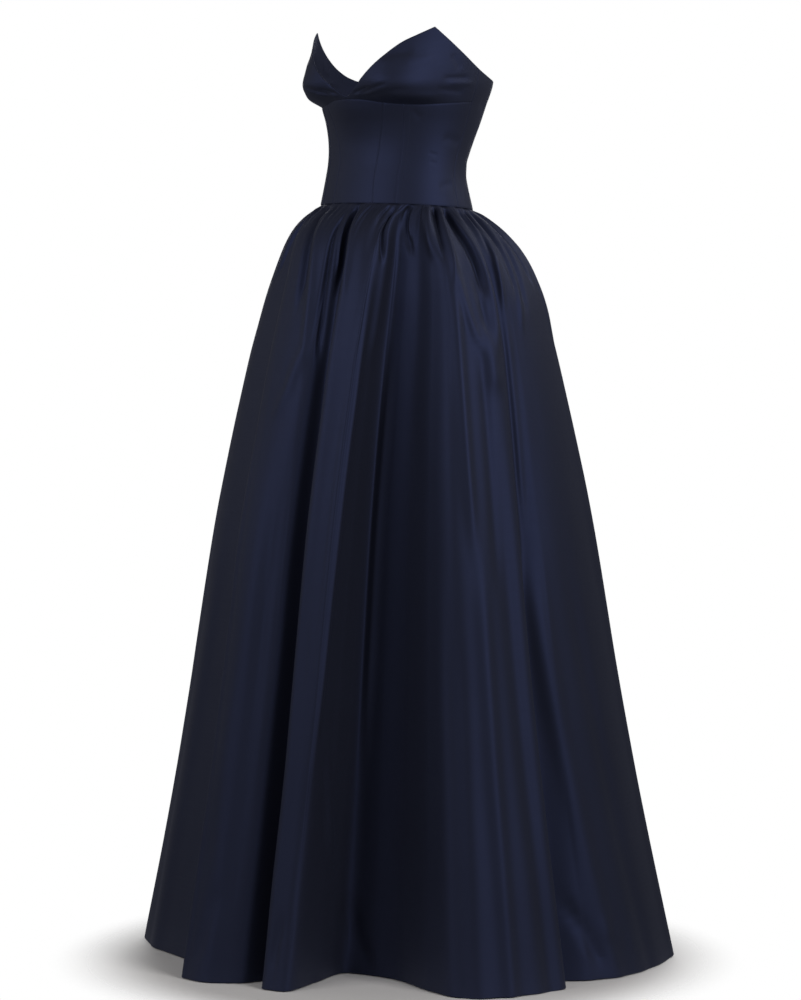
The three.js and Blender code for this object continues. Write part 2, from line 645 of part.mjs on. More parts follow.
// The slider lies against the cloth at the centre back, and the pull hangs straight down.
async function zipPieces() {
  const pieces = new THREE.Group();
  const seat = centreBackPoint(0, SLIDER_HEIGHT);
  const above = centreBackPoint(0, SLIDER_HEIGHT + 1);
  const below = centreBackPoint(0, SLIDER_HEIGHT - 1);
  const upward = above.sub(below).normalize();
  const across = new THREE.Vector3(-1, 0, 0);
  const away = across.clone().cross(upward);
  const slider = new THREE.Mesh(await sliderGeometry(), zipMetal);
  slider.name = 'zip_slider';
  slider.quaternion.setFromRotationMatrix(new THREE.Matrix4().makeBasis(across, upward, away));
  slider.position.copy(seat).addScaledVector(away, SEAM_GAP);
  const pull = new THREE.Mesh(pullGeometry(), zipMetal);
  pull.name = 'zip_pull';
  pull.rotation.set(Math.PI / 2, Math.PI, 0);
  pull.position.copy(slider.position).addScaledVector(away, SLIDER_DEPTH + HINGE_RISE);
  return pieces.add(zipTape(), slider, pull);
}

export default new THREE.Group().add(bodicePanels(), skirtPanels(), await zipPieces());
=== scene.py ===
"""A strapless corset ball gown in midnight navy satin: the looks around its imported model.

The tables are in millimetres, as the garment was cut. +Z is up, the front faces -Y and the
wearer's left is +X. A turn is an angle about the body: 0 at the centre front, 90 at the
wearer's left and 180 at the centre back. Meshes are made in metres.
"""

import bpy
import numpy as np
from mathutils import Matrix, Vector


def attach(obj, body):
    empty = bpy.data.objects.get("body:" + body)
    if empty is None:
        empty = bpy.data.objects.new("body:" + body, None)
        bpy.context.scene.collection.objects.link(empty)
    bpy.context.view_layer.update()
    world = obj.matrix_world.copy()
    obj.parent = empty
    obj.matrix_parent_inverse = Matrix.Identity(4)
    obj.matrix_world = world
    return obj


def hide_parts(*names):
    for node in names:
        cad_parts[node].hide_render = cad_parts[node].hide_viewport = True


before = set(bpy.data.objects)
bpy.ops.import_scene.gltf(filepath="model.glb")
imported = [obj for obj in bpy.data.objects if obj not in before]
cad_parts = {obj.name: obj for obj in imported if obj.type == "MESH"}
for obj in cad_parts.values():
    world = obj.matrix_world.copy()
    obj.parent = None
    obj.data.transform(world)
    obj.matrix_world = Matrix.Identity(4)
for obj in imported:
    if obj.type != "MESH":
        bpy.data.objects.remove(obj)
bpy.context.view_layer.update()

MM = 0.001

# Driving dimensions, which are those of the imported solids
BODICE_WALL = 2.4
SKIRT_WALL = 2.0
SKIRT_LENGTH = 1174.0
HEM_HEIGHT = -1242.0
WAIST_SEAM_HEIGHT = -68.0
WAIST_SEAM_TILT = 7.0
WAIST_SEAM_GAP = 0.3
CUP_DEPTH = 27.0
CUP_TURN = 31.0
CUP_INNER_SPREAD = 18.0
CUP_OUTER_SPREAD = 25.0
BREASTBONE_PUSH = 7.0
BREASTBONE_SPREAD = 22.0
BREASTBONE_FOOT = 25.0
BREASTBONE_RISE = 70.0
BACK_TURN = 180.0
PEAK_TURN = 58.5
SWAY_TURN = 133.0

# How the cloth is finished where panels meet and where an edge is free
PANEL_GAP = 0.08
SEAM_GROOVE = 0.42
SEAM_GROOVE_WIDTH = 1.3
MM_PER_DEGREE = 2.25
HEM_TURN_UP = 32.0
HEM_TURN_UP_THICKNESS = 0.9
HEM_TURN_UP_FADE = 3.0


def table(columns, *rows):
    """Rows of numbers as one array for each named column."""
    return dict(zip(columns.split(), np.array(rows, float).T))


BODY_SECTIONS = table(
    "height half_width half_depth shift",
    (-90, 136, 111, -1.5),
    (-66, 130.5, 105, -1.5),
    (-23, 122.5, 95.5, -1.6),
    (5, 121.5, 93.5, 2.6),
    (33, 124.5, 99.5, 9.4),
    (61, 130, 108.5, 14.4),
    (88, 136.5, 118.5, 16),
    (127, 145.5, 130, 19),
    (217, 148, 131, 20),
)

UNDERBUST_EDGE = table(
    "turn height",
    (0, 98), (12, 96.5), (28, 91), (50, 88.5), (75, 91.5), (96, 94),
)

# The top edge, from the V up to the cup's point and from there round to the back
NECK_EDGE = table(
    "turn height",
    (0, 102), (5, 108), (10, 119), (16, 134), (23, 152),
    (30, 168.5), (38, 183.5), (47, 194.5), (PEAK_TURN, 207),
)
SIDE_EDGE = table(
    "turn height",
    (PEAK_TURN, 207), (70, 185), (81, 165.5), (90, 151.5),
    (100, 140), (115, 131), (135, 128), (BACK_TURN, 127),
)

# How far the cup stands out, by height above the seam under it
CUP_RISE = table(
    "rise share",
    (0, 0), (7, 0.5), (17, 0.87), (32, 1), (55, 0.76), (85, 0.36), (127, 0.04),
)

# The corset's long seams, mirrored on the wearer's right
PRINCESS_SEAM = table("height turn", (-75, 19.2), (0, 18.6), (98, 26.4))
CHANNEL_SEAM = table("height turn", (-75, 36), (0, 37.8), (98, 38.6))
SIDE_SEAM = table("height turn", (-75, 90), (0, 91), (160, 94))

# How far the skirt has swung out from the waist to the hem, by drop below the waist seam, and
# how far its middle hangs towards the wearer's back left
FLARE = table(
    "drop share sway",
    (0, 0, 0),
    (14, 0.075, -1),
    (29, 0.133, -0.5),
    (44, 0.178, 1),
    (64, 0.223, 4),
    (94, 0.271, 7),
    (134, 0.321, 8.5),
    (184, 0.369, 8),
    (234, 0.413, 7),
    (334, 0.487, 5.5),
    (434, 0.554, 4),
    (534, 0.614, 3),
    (734, 0.722, 3),
    (934, 0.84, 4),
    (SKIRT_LENGTH, 1, 5),
)

# The skirt's long folds in plan, round from the centre back by the wearer's right: where each
# ridge, flank or hollow leaves the waist, and where it reaches the hem
FOLDS = table(
    "waist_turn hem_turn hem_reach",
    (-180, -180, 380),
    (-170, -170, 362),
    (-159, -158, 409),
    (-147, -145, 416),
    (-135, -133, 368),
    (-124, -122, 412),
    (-110, -106, 418),
    (-96, -93, 366),
    (-84, -84, 410),
    (-72, -75, 404),
    (-58, -62, 424),
    (-48, -48, 394),
    (-39, -22, 345),
    (-32, -12.5, 402),
    (-12, -3, 388),
    (4.5, 1.2, 364),
    (12.5, 5.2, 316),
    (18.5, 9.2, 374),
    (27, 12.2, 376),
    (38, 15.8, 371),
    (42.5, 17.4, 298),
    (46.5, 20, 214),
    (52, 32.6, 222),
    (56, 42, 248),
    (60.5, 51, 332),
    (65.5, 57.5, 394),
    (73, 67.5, 402),
    (82, 81.5, 402),
    (88.5, 85, 350),
    (96, 92.5, 385),
    (110, 107, 419),
    (124, 126, 430),
    (138, 140, 374),
    (149, 151, 414),
    (160, 162, 406),
    (170, 171, 364),
)
FOLD_COUNT = len(FOLDS["waist_turn"])
RIGHT_SEAM_FOLD = 7
LEFT_SEAM_FOLD = 28

# The gathers under the waist seam: where each pinch lies, how wide and deep it is, and how far
# down it runs before it has smoothed out
GATHERS = table(
    "turn width depth reach",
    (-166, 5.5, 6, 150),
    (-153, 5, 8, 190),
    (-141, 4.5, 5, 110),
    (-129, 5.5, 8.5, 210),
    (-116, 4.5, 6, 120),
    (-103, 5.5, 8, 180),
    (-90, 4.5, 5.5, 100),
    (-77, 5.5, 8, 190),
    (-65, 4.5, 6, 120),
    (-53, 5, 7.5, 160),
    (-41, 4.5, 8.5, 200),
    (-25, 5, 5.5, 90),
    (-12, 4, 6, 100),
    (-2, 3.5, 6, 80),
    (8, 4, 9, 200),
    (24, 4, 5, 70),
    (35.5, 4.5, 8.5, 150),
    (49, 5, 8, 150),
    (66, 3.6, 6, 80),
    (76, 4.5, 8.5, 170),
    (91, 4.5, 6, 120),
    (104, 5.5, 8, 170),
    (117, 4.5, 5.5, 110),
    (130, 5.5, 8.5, 200),
    (143, 4.5, 6, 120),
    (155, 5, 8, 180),
    (167, 5, 5.5, 130),
)
# The share of its depth that a pinch has at the seam, and of its reach over which it deepens
GATHER_AT_SEAM = 0.35
GATHER_SWELL = 0.14

# Grid spacing of the cloth, in millimetres on the bodice and in columns to a fold on the skirt,
# and the extra rows beside the waist seam, the hem and the edge of its turn-up, of which the
# even rows keep clear. What is nearer to an edge than ON_EDGE lies on it.
BODICE_STEP = 1.7
EDGE_STEPS = (0.3, 0.7, 1.2, 2.0, 3.0)
SKIRT_COLUMNS_PER_FOLD = 19
SKIRT_ROWS = 114
SKIRT_ROW_CROWDING = 1.45
SEAM_ROWS = (0, 0.5, 1.2, 2.0, 3.2)
HEM_ROWS = (0, 0.3, 0.7, 1.0, 2.5)
TURN_UP_ROWS = (-2.0, 0.5)
TURN_UP_DROP = SKIRT_LENGTH - HEM_TURN_UP
HEM_CLEARANCE = 1.0
TURN_UP_CLEARANCE = 3.0
ON_EDGE = 1e-6


def mix(a, b, share):
    return a + (b - a) * share


def smooth(t):
    """An even step from 0 to 1."""
    t = np.clip(t, 0, 1)
    return t * t * (3 - 2 * t)


def bell(at, middle, width):
    """A bell of height 1 about a middle, spread by a width."""
    return np.exp(-(((at - middle) / width) ** 2))


def wrapped(turn):
    """A turn brought to between -180 and 180."""
    return (turn + 180) % 360 - 180


def along(rows, key, column, at):
    """A column of a table at any key, along a smooth curve through its rows."""
    keys = rows[key]
    values = rows[column]
    last = len(keys) - 1
    index = np.arange(last + 1)
    after = np.minimum(index + 1, last)
    before = np.maximum(index - 1, 0)
    slopes = (values[after] - values[before]) / (keys[after] - keys[before])
    at = np.clip(np.asarray(at, float), keys[0], keys[-1])
    i = np.clip(np.searchsorted(keys, at, side="left") - 1, 0, last - 1)
    span = keys[i + 1] - keys[i]
    t = (at - keys[i]) / span
    start = values[i] * (2 * t**3 - 3 * t**2 + 1)
    end = values[i + 1] * (3 * t**2 - 2 * t**3)
    leaving = slopes[i] * span * (t**3 - 2 * t**2 + t)
    arriving = slopes[i + 1] * span * (t**3 - t**2)
    return start + end + leaving + arriving


def underbust_height(turn):
    return along(UNDERBUST_EDGE, "turn", "height", np.abs(turn))


def top_height(turn):
    turn = np.abs(turn)
    neck = along(NECK_EDGE, "turn", "height", turn)
    side = along(SIDE_EDGE, "turn", "height", turn)
    return np.where(turn < PEAK_TURN, neck, side)


def waist_seam_height(turn):
    return WAIST_SEAM_HEIGHT + WAIST_SEAM_TILT * np.cos(np.radians(turn))


def bodice_point(turn, height, in_cup):
    """The bodice's outer face, standing out over the cups where in_cup is true."""
    half_width = along(BODY_SECTIONS, "height", "half_width", height)
    half_depth = along(BODY_SECTIONS, "height", "half_depth", height)
    shift = along(BODY_SECTIONS, "height", "shift", height)
    up = smooth((height - BREASTBONE_FOOT) / BREASTBONE_RISE)
    push = BREASTBONE_PUSH * bell(turn, 0, BREASTBONE_SPREAD) * up
    if in_cup:
        share = along(CUP_RISE, "rise", "share", height - underbust_height(turn))
        spread = np.where(np.abs(turn) < CUP_TURN, CUP_INNER_SPREAD, CUP_OUTER_SPREAD)
        push = push + CUP_DEPTH * share * bell(np.abs(turn), CUP_TURN, spread)
    angle = np.radians(turn)
    x = (half_width + push) * np.sin(angle)
    y = shift - (half_depth + push) * np.cos(angle)
    return np.stack([x, y, height + 0 * x], -1)


def gather_depth(turn, drop):
    """How deep the gathers pinch the skirt at a turn and a drop below the waist seam."""
    depth = 0
    for middle, width, deep, reach in zip(*GATHERS.values()):
        down = drop / reach
        swell = mix(GATHER_AT_SEAM, 1, smooth(down / GATHER_SWELL))
        depth = depth + deep * swell * (1 - smooth(down)) * bell(turn, middle, width)
    return depth


def waist_turn_at(place):
    """The turn at the waist of a place along the folds, where whole numbers are fold rows."""
    rows = np.arange(-FOLD_COUNT, 2 * FOLD_COUNT)
    laps, row = np.divmod(rows, FOLD_COUNT)
    return np.interp(place, rows, FOLDS["waist_turn"][row] + 360 * laps)


def fold_points(drops):
    """Every fold's place in plan at each drop."""
    share = along(FLARE, "drop", "share", drops)[:, None, None]
    sway = along(FLARE, "drop", "sway", drops)[:, None, None]
    turns = FOLDS["waist_turn"]
    waist = bodice_point(turns, waist_seam_height(turns), False)[None, :, :2]
    hem_angle = np.radians(FOLDS["hem_turn"])
    hem = np.stack([np.sin(hem_angle), -np.cos(hem_angle)], -1) * FOLDS["hem_reach"][:, None]
    lean = np.radians(SWAY_TURN)
    return mix(waist, hem[None], share) + sway * np.array([np.sin(lean), -np.cos(lean)])


def section_points(place, drops):
    """Points on the closed centripetal curves through the folds, one curve for each drop."""
    folds = fold_points(drops)
    row = np.floor(place).astype(int)
    t = (place - row)[None, :, None]
    p0, p1, p2, p3 = (folds[:, (row + k) % FOLD_COUNT] for k in (-1, 0, 1, 2))

    def knot(a, b):
        return np.sqrt(np.linalg.norm(a - b, axis=-1))[..., None]

    d0, d1, d2 = knot(p0, p1), knot(p1, p2), knot(p2, p3)
    leaving = ((p1 - p0) / d0 - (p2 - p0) / (d0 + d1) + (p2 - p1) / d1) * d1
    arriving = ((p2 - p1) / d1 - (p3 - p1) / (d1 + d2) + (p3 - p2) / d2) * d1
    c2 = -3 * p1 + 3 * p2 - 2 * leaving - arriving
    c3 = 2 * p1 - 2 * p2 + leaving + arriving
    return p1 + leaving * t + c2 * t**2 + c3 * t**3


def skirt_points(place, drops):
    """The skirt's outer face on a grid of places by drops, as an array [place, drop, xyz]."""
    flat = section_points(place, drops).transpose(1, 0, 2)
    turn = wrapped(waist_turn_at(place))[:, None]
    drop = drops[None, :]
    length = np.linalg.norm(flat, axis=-1, keepdims=True)
    flat = flat * (1 - gather_depth(turn, drop)[..., None] / length)
    seam = waist_seam_height(turn)
    z = seam - WAIST_SEAM_GAP / 2 + (HEM_HEIGHT - seam) * drop / SKIRT_LENGTH
    return np.concatenate([flat, z[..., None]], -1)


def unit(vectors):
    return vectors / np.maximum(np.linalg.norm(vectors, axis=-1, keepdims=True), 1e-9)


def walked(points, axis):
    """Distances along the lines of a grid of points, each from its line's start."""
    steps = np.linalg.norm(np.diff(points, axis=axis), axis=-1)
    return np.insert(np.cumsum(steps, axis=axis), 0, 0, axis=axis)


def fractions(length, step, close_at_start, close_at_end):
    """Places from 0 to 1 along a length, a step apart, and closer together near an end."""
    even = np.linspace(0, 1, max(2, round(length / step)) + 1)
    edge = np.array(EDGE_STEPS) / length
    low = edge[-1] + step / length / 2 if close_at_start else 0
    high = 1 - low if close_at_end else 1
    kept = even[(even >= low) & (even <= high)]
    parts = [[0, 1], kept]
    if close_at_start:
        parts.append(edge)
    if close_at_end:
        parts.append(1 - edge)
    return np.unique(np.concatenate(parts))


def lip(distance, thickness):
    """How far an edge's two faces draw in towards each other, to round it off."""
    radius = thickness / 2
    inside = np.clip(radius - distance, 0, radius)
    return radius - np.sqrt(radius**2 - inside**2)


def levelled(normal, below, above):
    """Directions out of a wall, turned level on its lowest and highest rows."""
    level = (below < ON_EDGE) | (above < ON_EDGE)
    return np.where(level[..., None], unit(normal * [1, 1, 0]), normal)


def seam_groove(*distances):
    """How far the cloth sinks beside the seams at these distances."""
    return SEAM_GROOVE * sum(bell(distance, 0, SEAM_GROOVE_WIDTH) for distance in distances)


def add_object(name, data):
    added = bpy.data.objects.new(name, data)
    bpy.context.scene.collection.objects.link(added)
    return added


def add_smooth_object(name, mesh, material):
    mesh.polygons.foreach_set("use_smooth", np.ones(len(mesh.polygons), bool))
    mesh.materials.append(material)
    return add_object(name, mesh)


def wall_mesh(name, outer, inner, uv, material):
    """A closed shell from matching grids of outer and inner points, [column, row, xyz] in mm."""
    columns, rows = outer.shape[:2]
    count = columns * rows
    points = np.concatenate([outer.reshape(-1, 3), inner.reshape(-1, 3)]) * MM
    ids = np.arange(count).reshape(columns, rows)
    a, b, c, d = ids[:-1, :-1], ids[1:, :-1], ids[1:, 1:], ids[:-1, 1:]
    front = np.stack([a, b, c, d], -1).reshape(-1, 4)
    back = np.stack([a, d, c, b], -1).reshape(-1, 4) + count

    def rim(near, far):
        """The faces between the two walls along a line of points."""
        return np.stack([near, near + count, far + count, far], -1)

    rims = np.concatenate([
        rim(ids[1:, 0], ids[:-1, 0]),
        rim(ids[:-1, -1], ids[1:, -1]),
        rim(ids[0, :-1], ids[0, 1:]),
        rim(ids[-1, 1:], ids[-1, :-1]),
    ])
    faces = np.concatenate([front, back, rims])
    mesh = bpy.data.meshes.new(name)
    mesh.vertices.add(len(points))
    mesh.vertices.foreach_set("co", points.ravel())
    mesh.loops.add(faces.size)
    mesh.loops.foreach_set("vertex_index", faces.ravel())
    mesh.polygons.add(len(faces))
    mesh.polygons.foreach_set("loop_start", np.arange(0, faces.size, 4))
    mesh.update(calc_edges=True)
    layer = mesh.uv_layers.new(name="cloth")
    grain = np.tile(uv.reshape(-1, 2), (2, 1)) * MM
    layer.data.foreach_set("uv", grain[faces.ravel()].ravel())
    inside = mesh.attributes.new("inside", "FLOAT", "POINT")
    inside.data.foreach_set("value", np.repeat([0.0, 1.0], count))
    mesh.validate()
    return add_smooth_object(name, mesh, material)


def grain_of(points):
    """Cloth coordinates of a grid in mm: across from its middle column, and up its rows."""
    across = walked(points, 0)
    return np.stack([across - across[len(across) // 2], walked(points, 1)], -1)


# Creases in the bodice's cloth: from one turn and height to another, how wide and how deep in
# mm. A depth below 0 is a trough and one above 0 a ridge. Rows with mirrored 1 are on both sides.
BODICE_CREASES = table(
    "turn height end_turn end_height width depth in_cup mirrored",
    (4, 112, 13, 124, 2.2, -1.1, 1, 1),
    (6, 106, 20, 116, 2.4, -1.2, 1, 1),
    (9, 103, 33, 121, 3.6, -1.5, 1, 1),
    (13, 101, 44, 112, 4.2, -0.9, 1, 0),
    (27, 101, 66, 100, 6, 1.6, 1, 1),
    (5, 103, 26, 107, 2.6, 0.9, 1, 1),
    (24, 163, 46, 171, 7, -1.5, 1, 0),
    (36, 152, 60, 160, 9, 1, 1, 1),
    (62, 128, 86, 131, 4, -1.1, 1, 1),
    (66, 121, 92, 122, 4.5, 1, 1, 1),
    (58, 112, 84, 108, 5, -1, 1, 1),
    (70, 168, 78, 140, 6, -0.8, 1, 1),
    (-52, 126, -74, 132, 4.5, -1.1, 1, 0),
    (60, 16, 70, 11, 2.6, -0.5, 0, 0),
    (62, 2, 71, -2, 2.8, -0.45, 0, 0),
    (44, 82, 52, 66, 5.5, -0.7, 0, 1),
    (70, 40, 92, 30, 7, -0.9, 0, 1),
    (72, -38, 88, -30, 6, -0.8, 0, 1),
    (-58, 6, -76, 12, 4, -1, 0, 0),
    (104, 30, 126, 24, 9, -0.7, 0, 1),
    (110, 4, 134, 0, 8, -0.6, 0, 1),
    (124, 14, 150, 12, 9, 0.5, 0, 1),
    (118, -22, 142, -18, 9, -0.5, 0, 1),
    (150, 60, 172, 48, 9, -0.9, 0, 1),
    (104, 96, 118, 84, 8, -0.8, 0, 1),
    (148, 104, 170, 112, 9, 0.8, 0, 1),
    (154, -44, 172, -36, 6, -1, 0, 1),
)
CREASE_FADE = 0.28


def crease_fade(t):
    """How strong a crease is along its run from 0 to 1: it fades in and out."""
    return smooth(t / CREASE_FADE) * smooth((1 - t) / CREASE_FADE)


def bodice_relief(turn, height, in_cup):
    """How far the creases raise the bodice's cloth."""
    relief = 0 * turn
    for row in zip(*BODICE_CREASES.values()):
        start_turn, start_height, end_turn, end_height, width, depth, of_cup, mirrored = row
        if bool(of_cup) != in_cup:
            continue
        for side in (1, -1) if mirrored else (1,):
            x = (turn * side - start_turn) * MM_PER_DEGREE
            y = height - start_height
            run = np.array([(end_turn - start_turn) * MM_PER_DEGREE, end_height - start_height])
            length = np.hypot(*run)
            forward = (x * run[0] + y * run[1]) / length**2
            aside = (y * run[0] - x * run[1]) / length
            relief = relief + depth * crease_fade(forward) * bell(aside, 0, width)
    return relief


# Boning channels: a strip sewn down beside a seam of the corset's side and on its back, how far
# it stands out and how its second line of sewing sinks in
CHANNEL_WIDTH = 11.0
CHANNEL_RISE = 0.32
CHANNEL_EDGE = 1.5
CHANNEL_SEWING = 0.35
CHANNEL_SEWING_WIDTH = 0.9
BACK_CHANNEL_TURN = 134.0


def channel_relief(turn, height):
    """How far the two boning channels of a side raise the corset's cloth."""
    relief = 0 * turn
    for first_edge in (along(CHANNEL_SEAM, "height", "turn", height), BACK_CHANNEL_TURN):
        aside = (np.abs(turn) - first_edge) * MM_PER_DEGREE
        strip = smooth(aside / CHANNEL_EDGE) * smooth((CHANNEL_WIDTH - aside) / CHANNEL_EDGE)
        relief = relief + CHANNEL_RISE * strip
        relief = relief - CHANNEL_SEWING * bell(aside, CHANNEL_WIDTH, CHANNEL_SEWING_WIDTH)
    return relief


# The turn in degrees and the height in mm over which the bodice's slope is measured, and how
# often a panel's places are worked out, as its seams slant and its edges curve
SLOPE_STEP = 0.4
PLACE_PASSES = 4


def bodice_face(turn, height, in_cup):
    """Points on the bodice's outer face, and the directions out of it."""
    step = SLOPE_STEP
    ahead = bodice_point(turn + step, height, in_cup) - bodice_point(turn - step, height, in_cup)
    rise = bodice_point(turn, height + step, in_cup) - bodice_point(turn, height - step, in_cup)
    return bodice_point(turn, height, in_cup), unit(np.cross(ahead, rise))


def seam_turn(rows, side):
    return lambda height: side * along(rows, "height", "turn", height)


def fixed_turn(turn):
    return lambda height: turn + 0 * height


def waist_turn(seam):
    return seam(np.zeros(1))[0]


def panel_columns(seams):
    """Where a panel's columns lie, closer together at its outermost seams."""
    last = len(seams) - 2
    across = []
    for i in range(last + 1):
        width = (waist_turn(seams[i + 1]) - waist_turn(seams[i])) * MM_PER_DEGREE
        ends = fractions(width, BODICE_STEP, i == 0, i == last)
        across.append(i + (ends if i == last else ends[:-1]))
    return np.concatenate(across)


def panel_places(seams, across, edges, up):
    """Turn and height on a grid between slanted seams and edges. Whole numbers are seams."""
    step = np.clip(np.floor(across).astype(int), 0, len(seams) - 2)
    share = (across - step)[:, None]
    up = up[None, :]

    def turn_at(height):
        found = np.zeros(np.broadcast(share, up).shape)
        for i in range(len(seams) - 1):
            there = mix(seams[i](height), seams[i + 1](height), share)
            found = np.where((step == i)[:, None], there, found)
        return found

    turn = turn_at(np.zeros((1, 1)))
    for _ in range(PLACE_PASSES):
        height = mix(edges[0](turn), edges[1](turn), up)
        turn = turn_at(height)
    return turn, mix(edges[0](turn), edges[1](turn), up)


def bodice_panel(name, material, seams, edges, in_cup, free_top):
    """A panel of the bodice between its outermost seams, with its edges finished."""
    middle = (waist_turn(seams[0]) + waist_turn(seams[-1])) / 2
    tall = edges[1](middle) - edges[0](middle)
    up = fractions(tall, BODICE_STEP, True, True)
    turn, height = panel_places(seams, panel_columns(seams), edges, up)
    low_side = (turn - seams[0](height)) * MM_PER_DEGREE
    high_side = (seams[-1](height) - turn) * MM_PER_DEGREE
    inset = PANEL_GAP / 2 / MM_PER_DEGREE
    turn = np.clip(turn, seams[0](height) + inset, seams[-1](height) - inset)
    below = height - edges[0](turn)
    above = edges[1](turn) - height
    lift = (below < ON_EDGE) * PANEL_GAP / 2 - (above < ON_EDGE) * PANEL_GAP / 2
    height = height + lift

    point, normal = bodice_face(turn, height, in_cup)
    normal = levelled(normal, below, above)
    relief = bodice_relief(turn, height, in_cup)
    if not in_cup:
        relief = relief + channel_relief(turn, height)
    groove = seam_groove(low_side, high_side, below)
    rounding = 0
    if free_top:
        rounding = lip(above, BODICE_WALL)
    else:
        groove = groove + seam_groove(above)
    outer = point + normal * (relief - groove - rounding)[..., None]
    inner = point + normal * (relief - BODICE_WALL + rounding)[..., None]
    return wall_mesh(name, outer, inner, grain_of(point), material)


def make_bodice(material):
    """The corset's panels and the cups, each in the place of its solid."""
    underbust, top, waist = underbust_height, top_height, waist_seam_height
    pieces = {}

    def add(name, seams, edges, in_cup=False, free_top=False):
        ordered = sorted(seams, key=waist_turn)
        pieces[name] = bodice_panel(f"{name}_cloth", material, ordered, edges, in_cup, free_top)

    add("corset_front", [seam_turn(PRINCESS_SEAM, -1), seam_turn(PRINCESS_SEAM, 1)], [waist, underbust])
    for side, word in ((1, "left"), (-1, "right")):
        princess = seam_turn(PRINCESS_SEAM, side)
        channel = seam_turn(CHANNEL_SEAM, side)
        side_seam = seam_turn(SIDE_SEAM, side)
        middle, peak, back = fixed_turn(0), fixed_turn(side * PEAK_TURN), fixed_turn(side * BACK_TURN)
        add(f"cup_{word}", [middle, peak, side_seam], [underbust, top], True, True)
        add(f"corset_side_front_{word}", [princess, channel], [waist, underbust])
        add(f"corset_side_{word}", [channel, side_seam], [waist, underbust])
        add(f"corset_back_{word}", [side_seam, back], [waist, top], False, True)
    return pieces


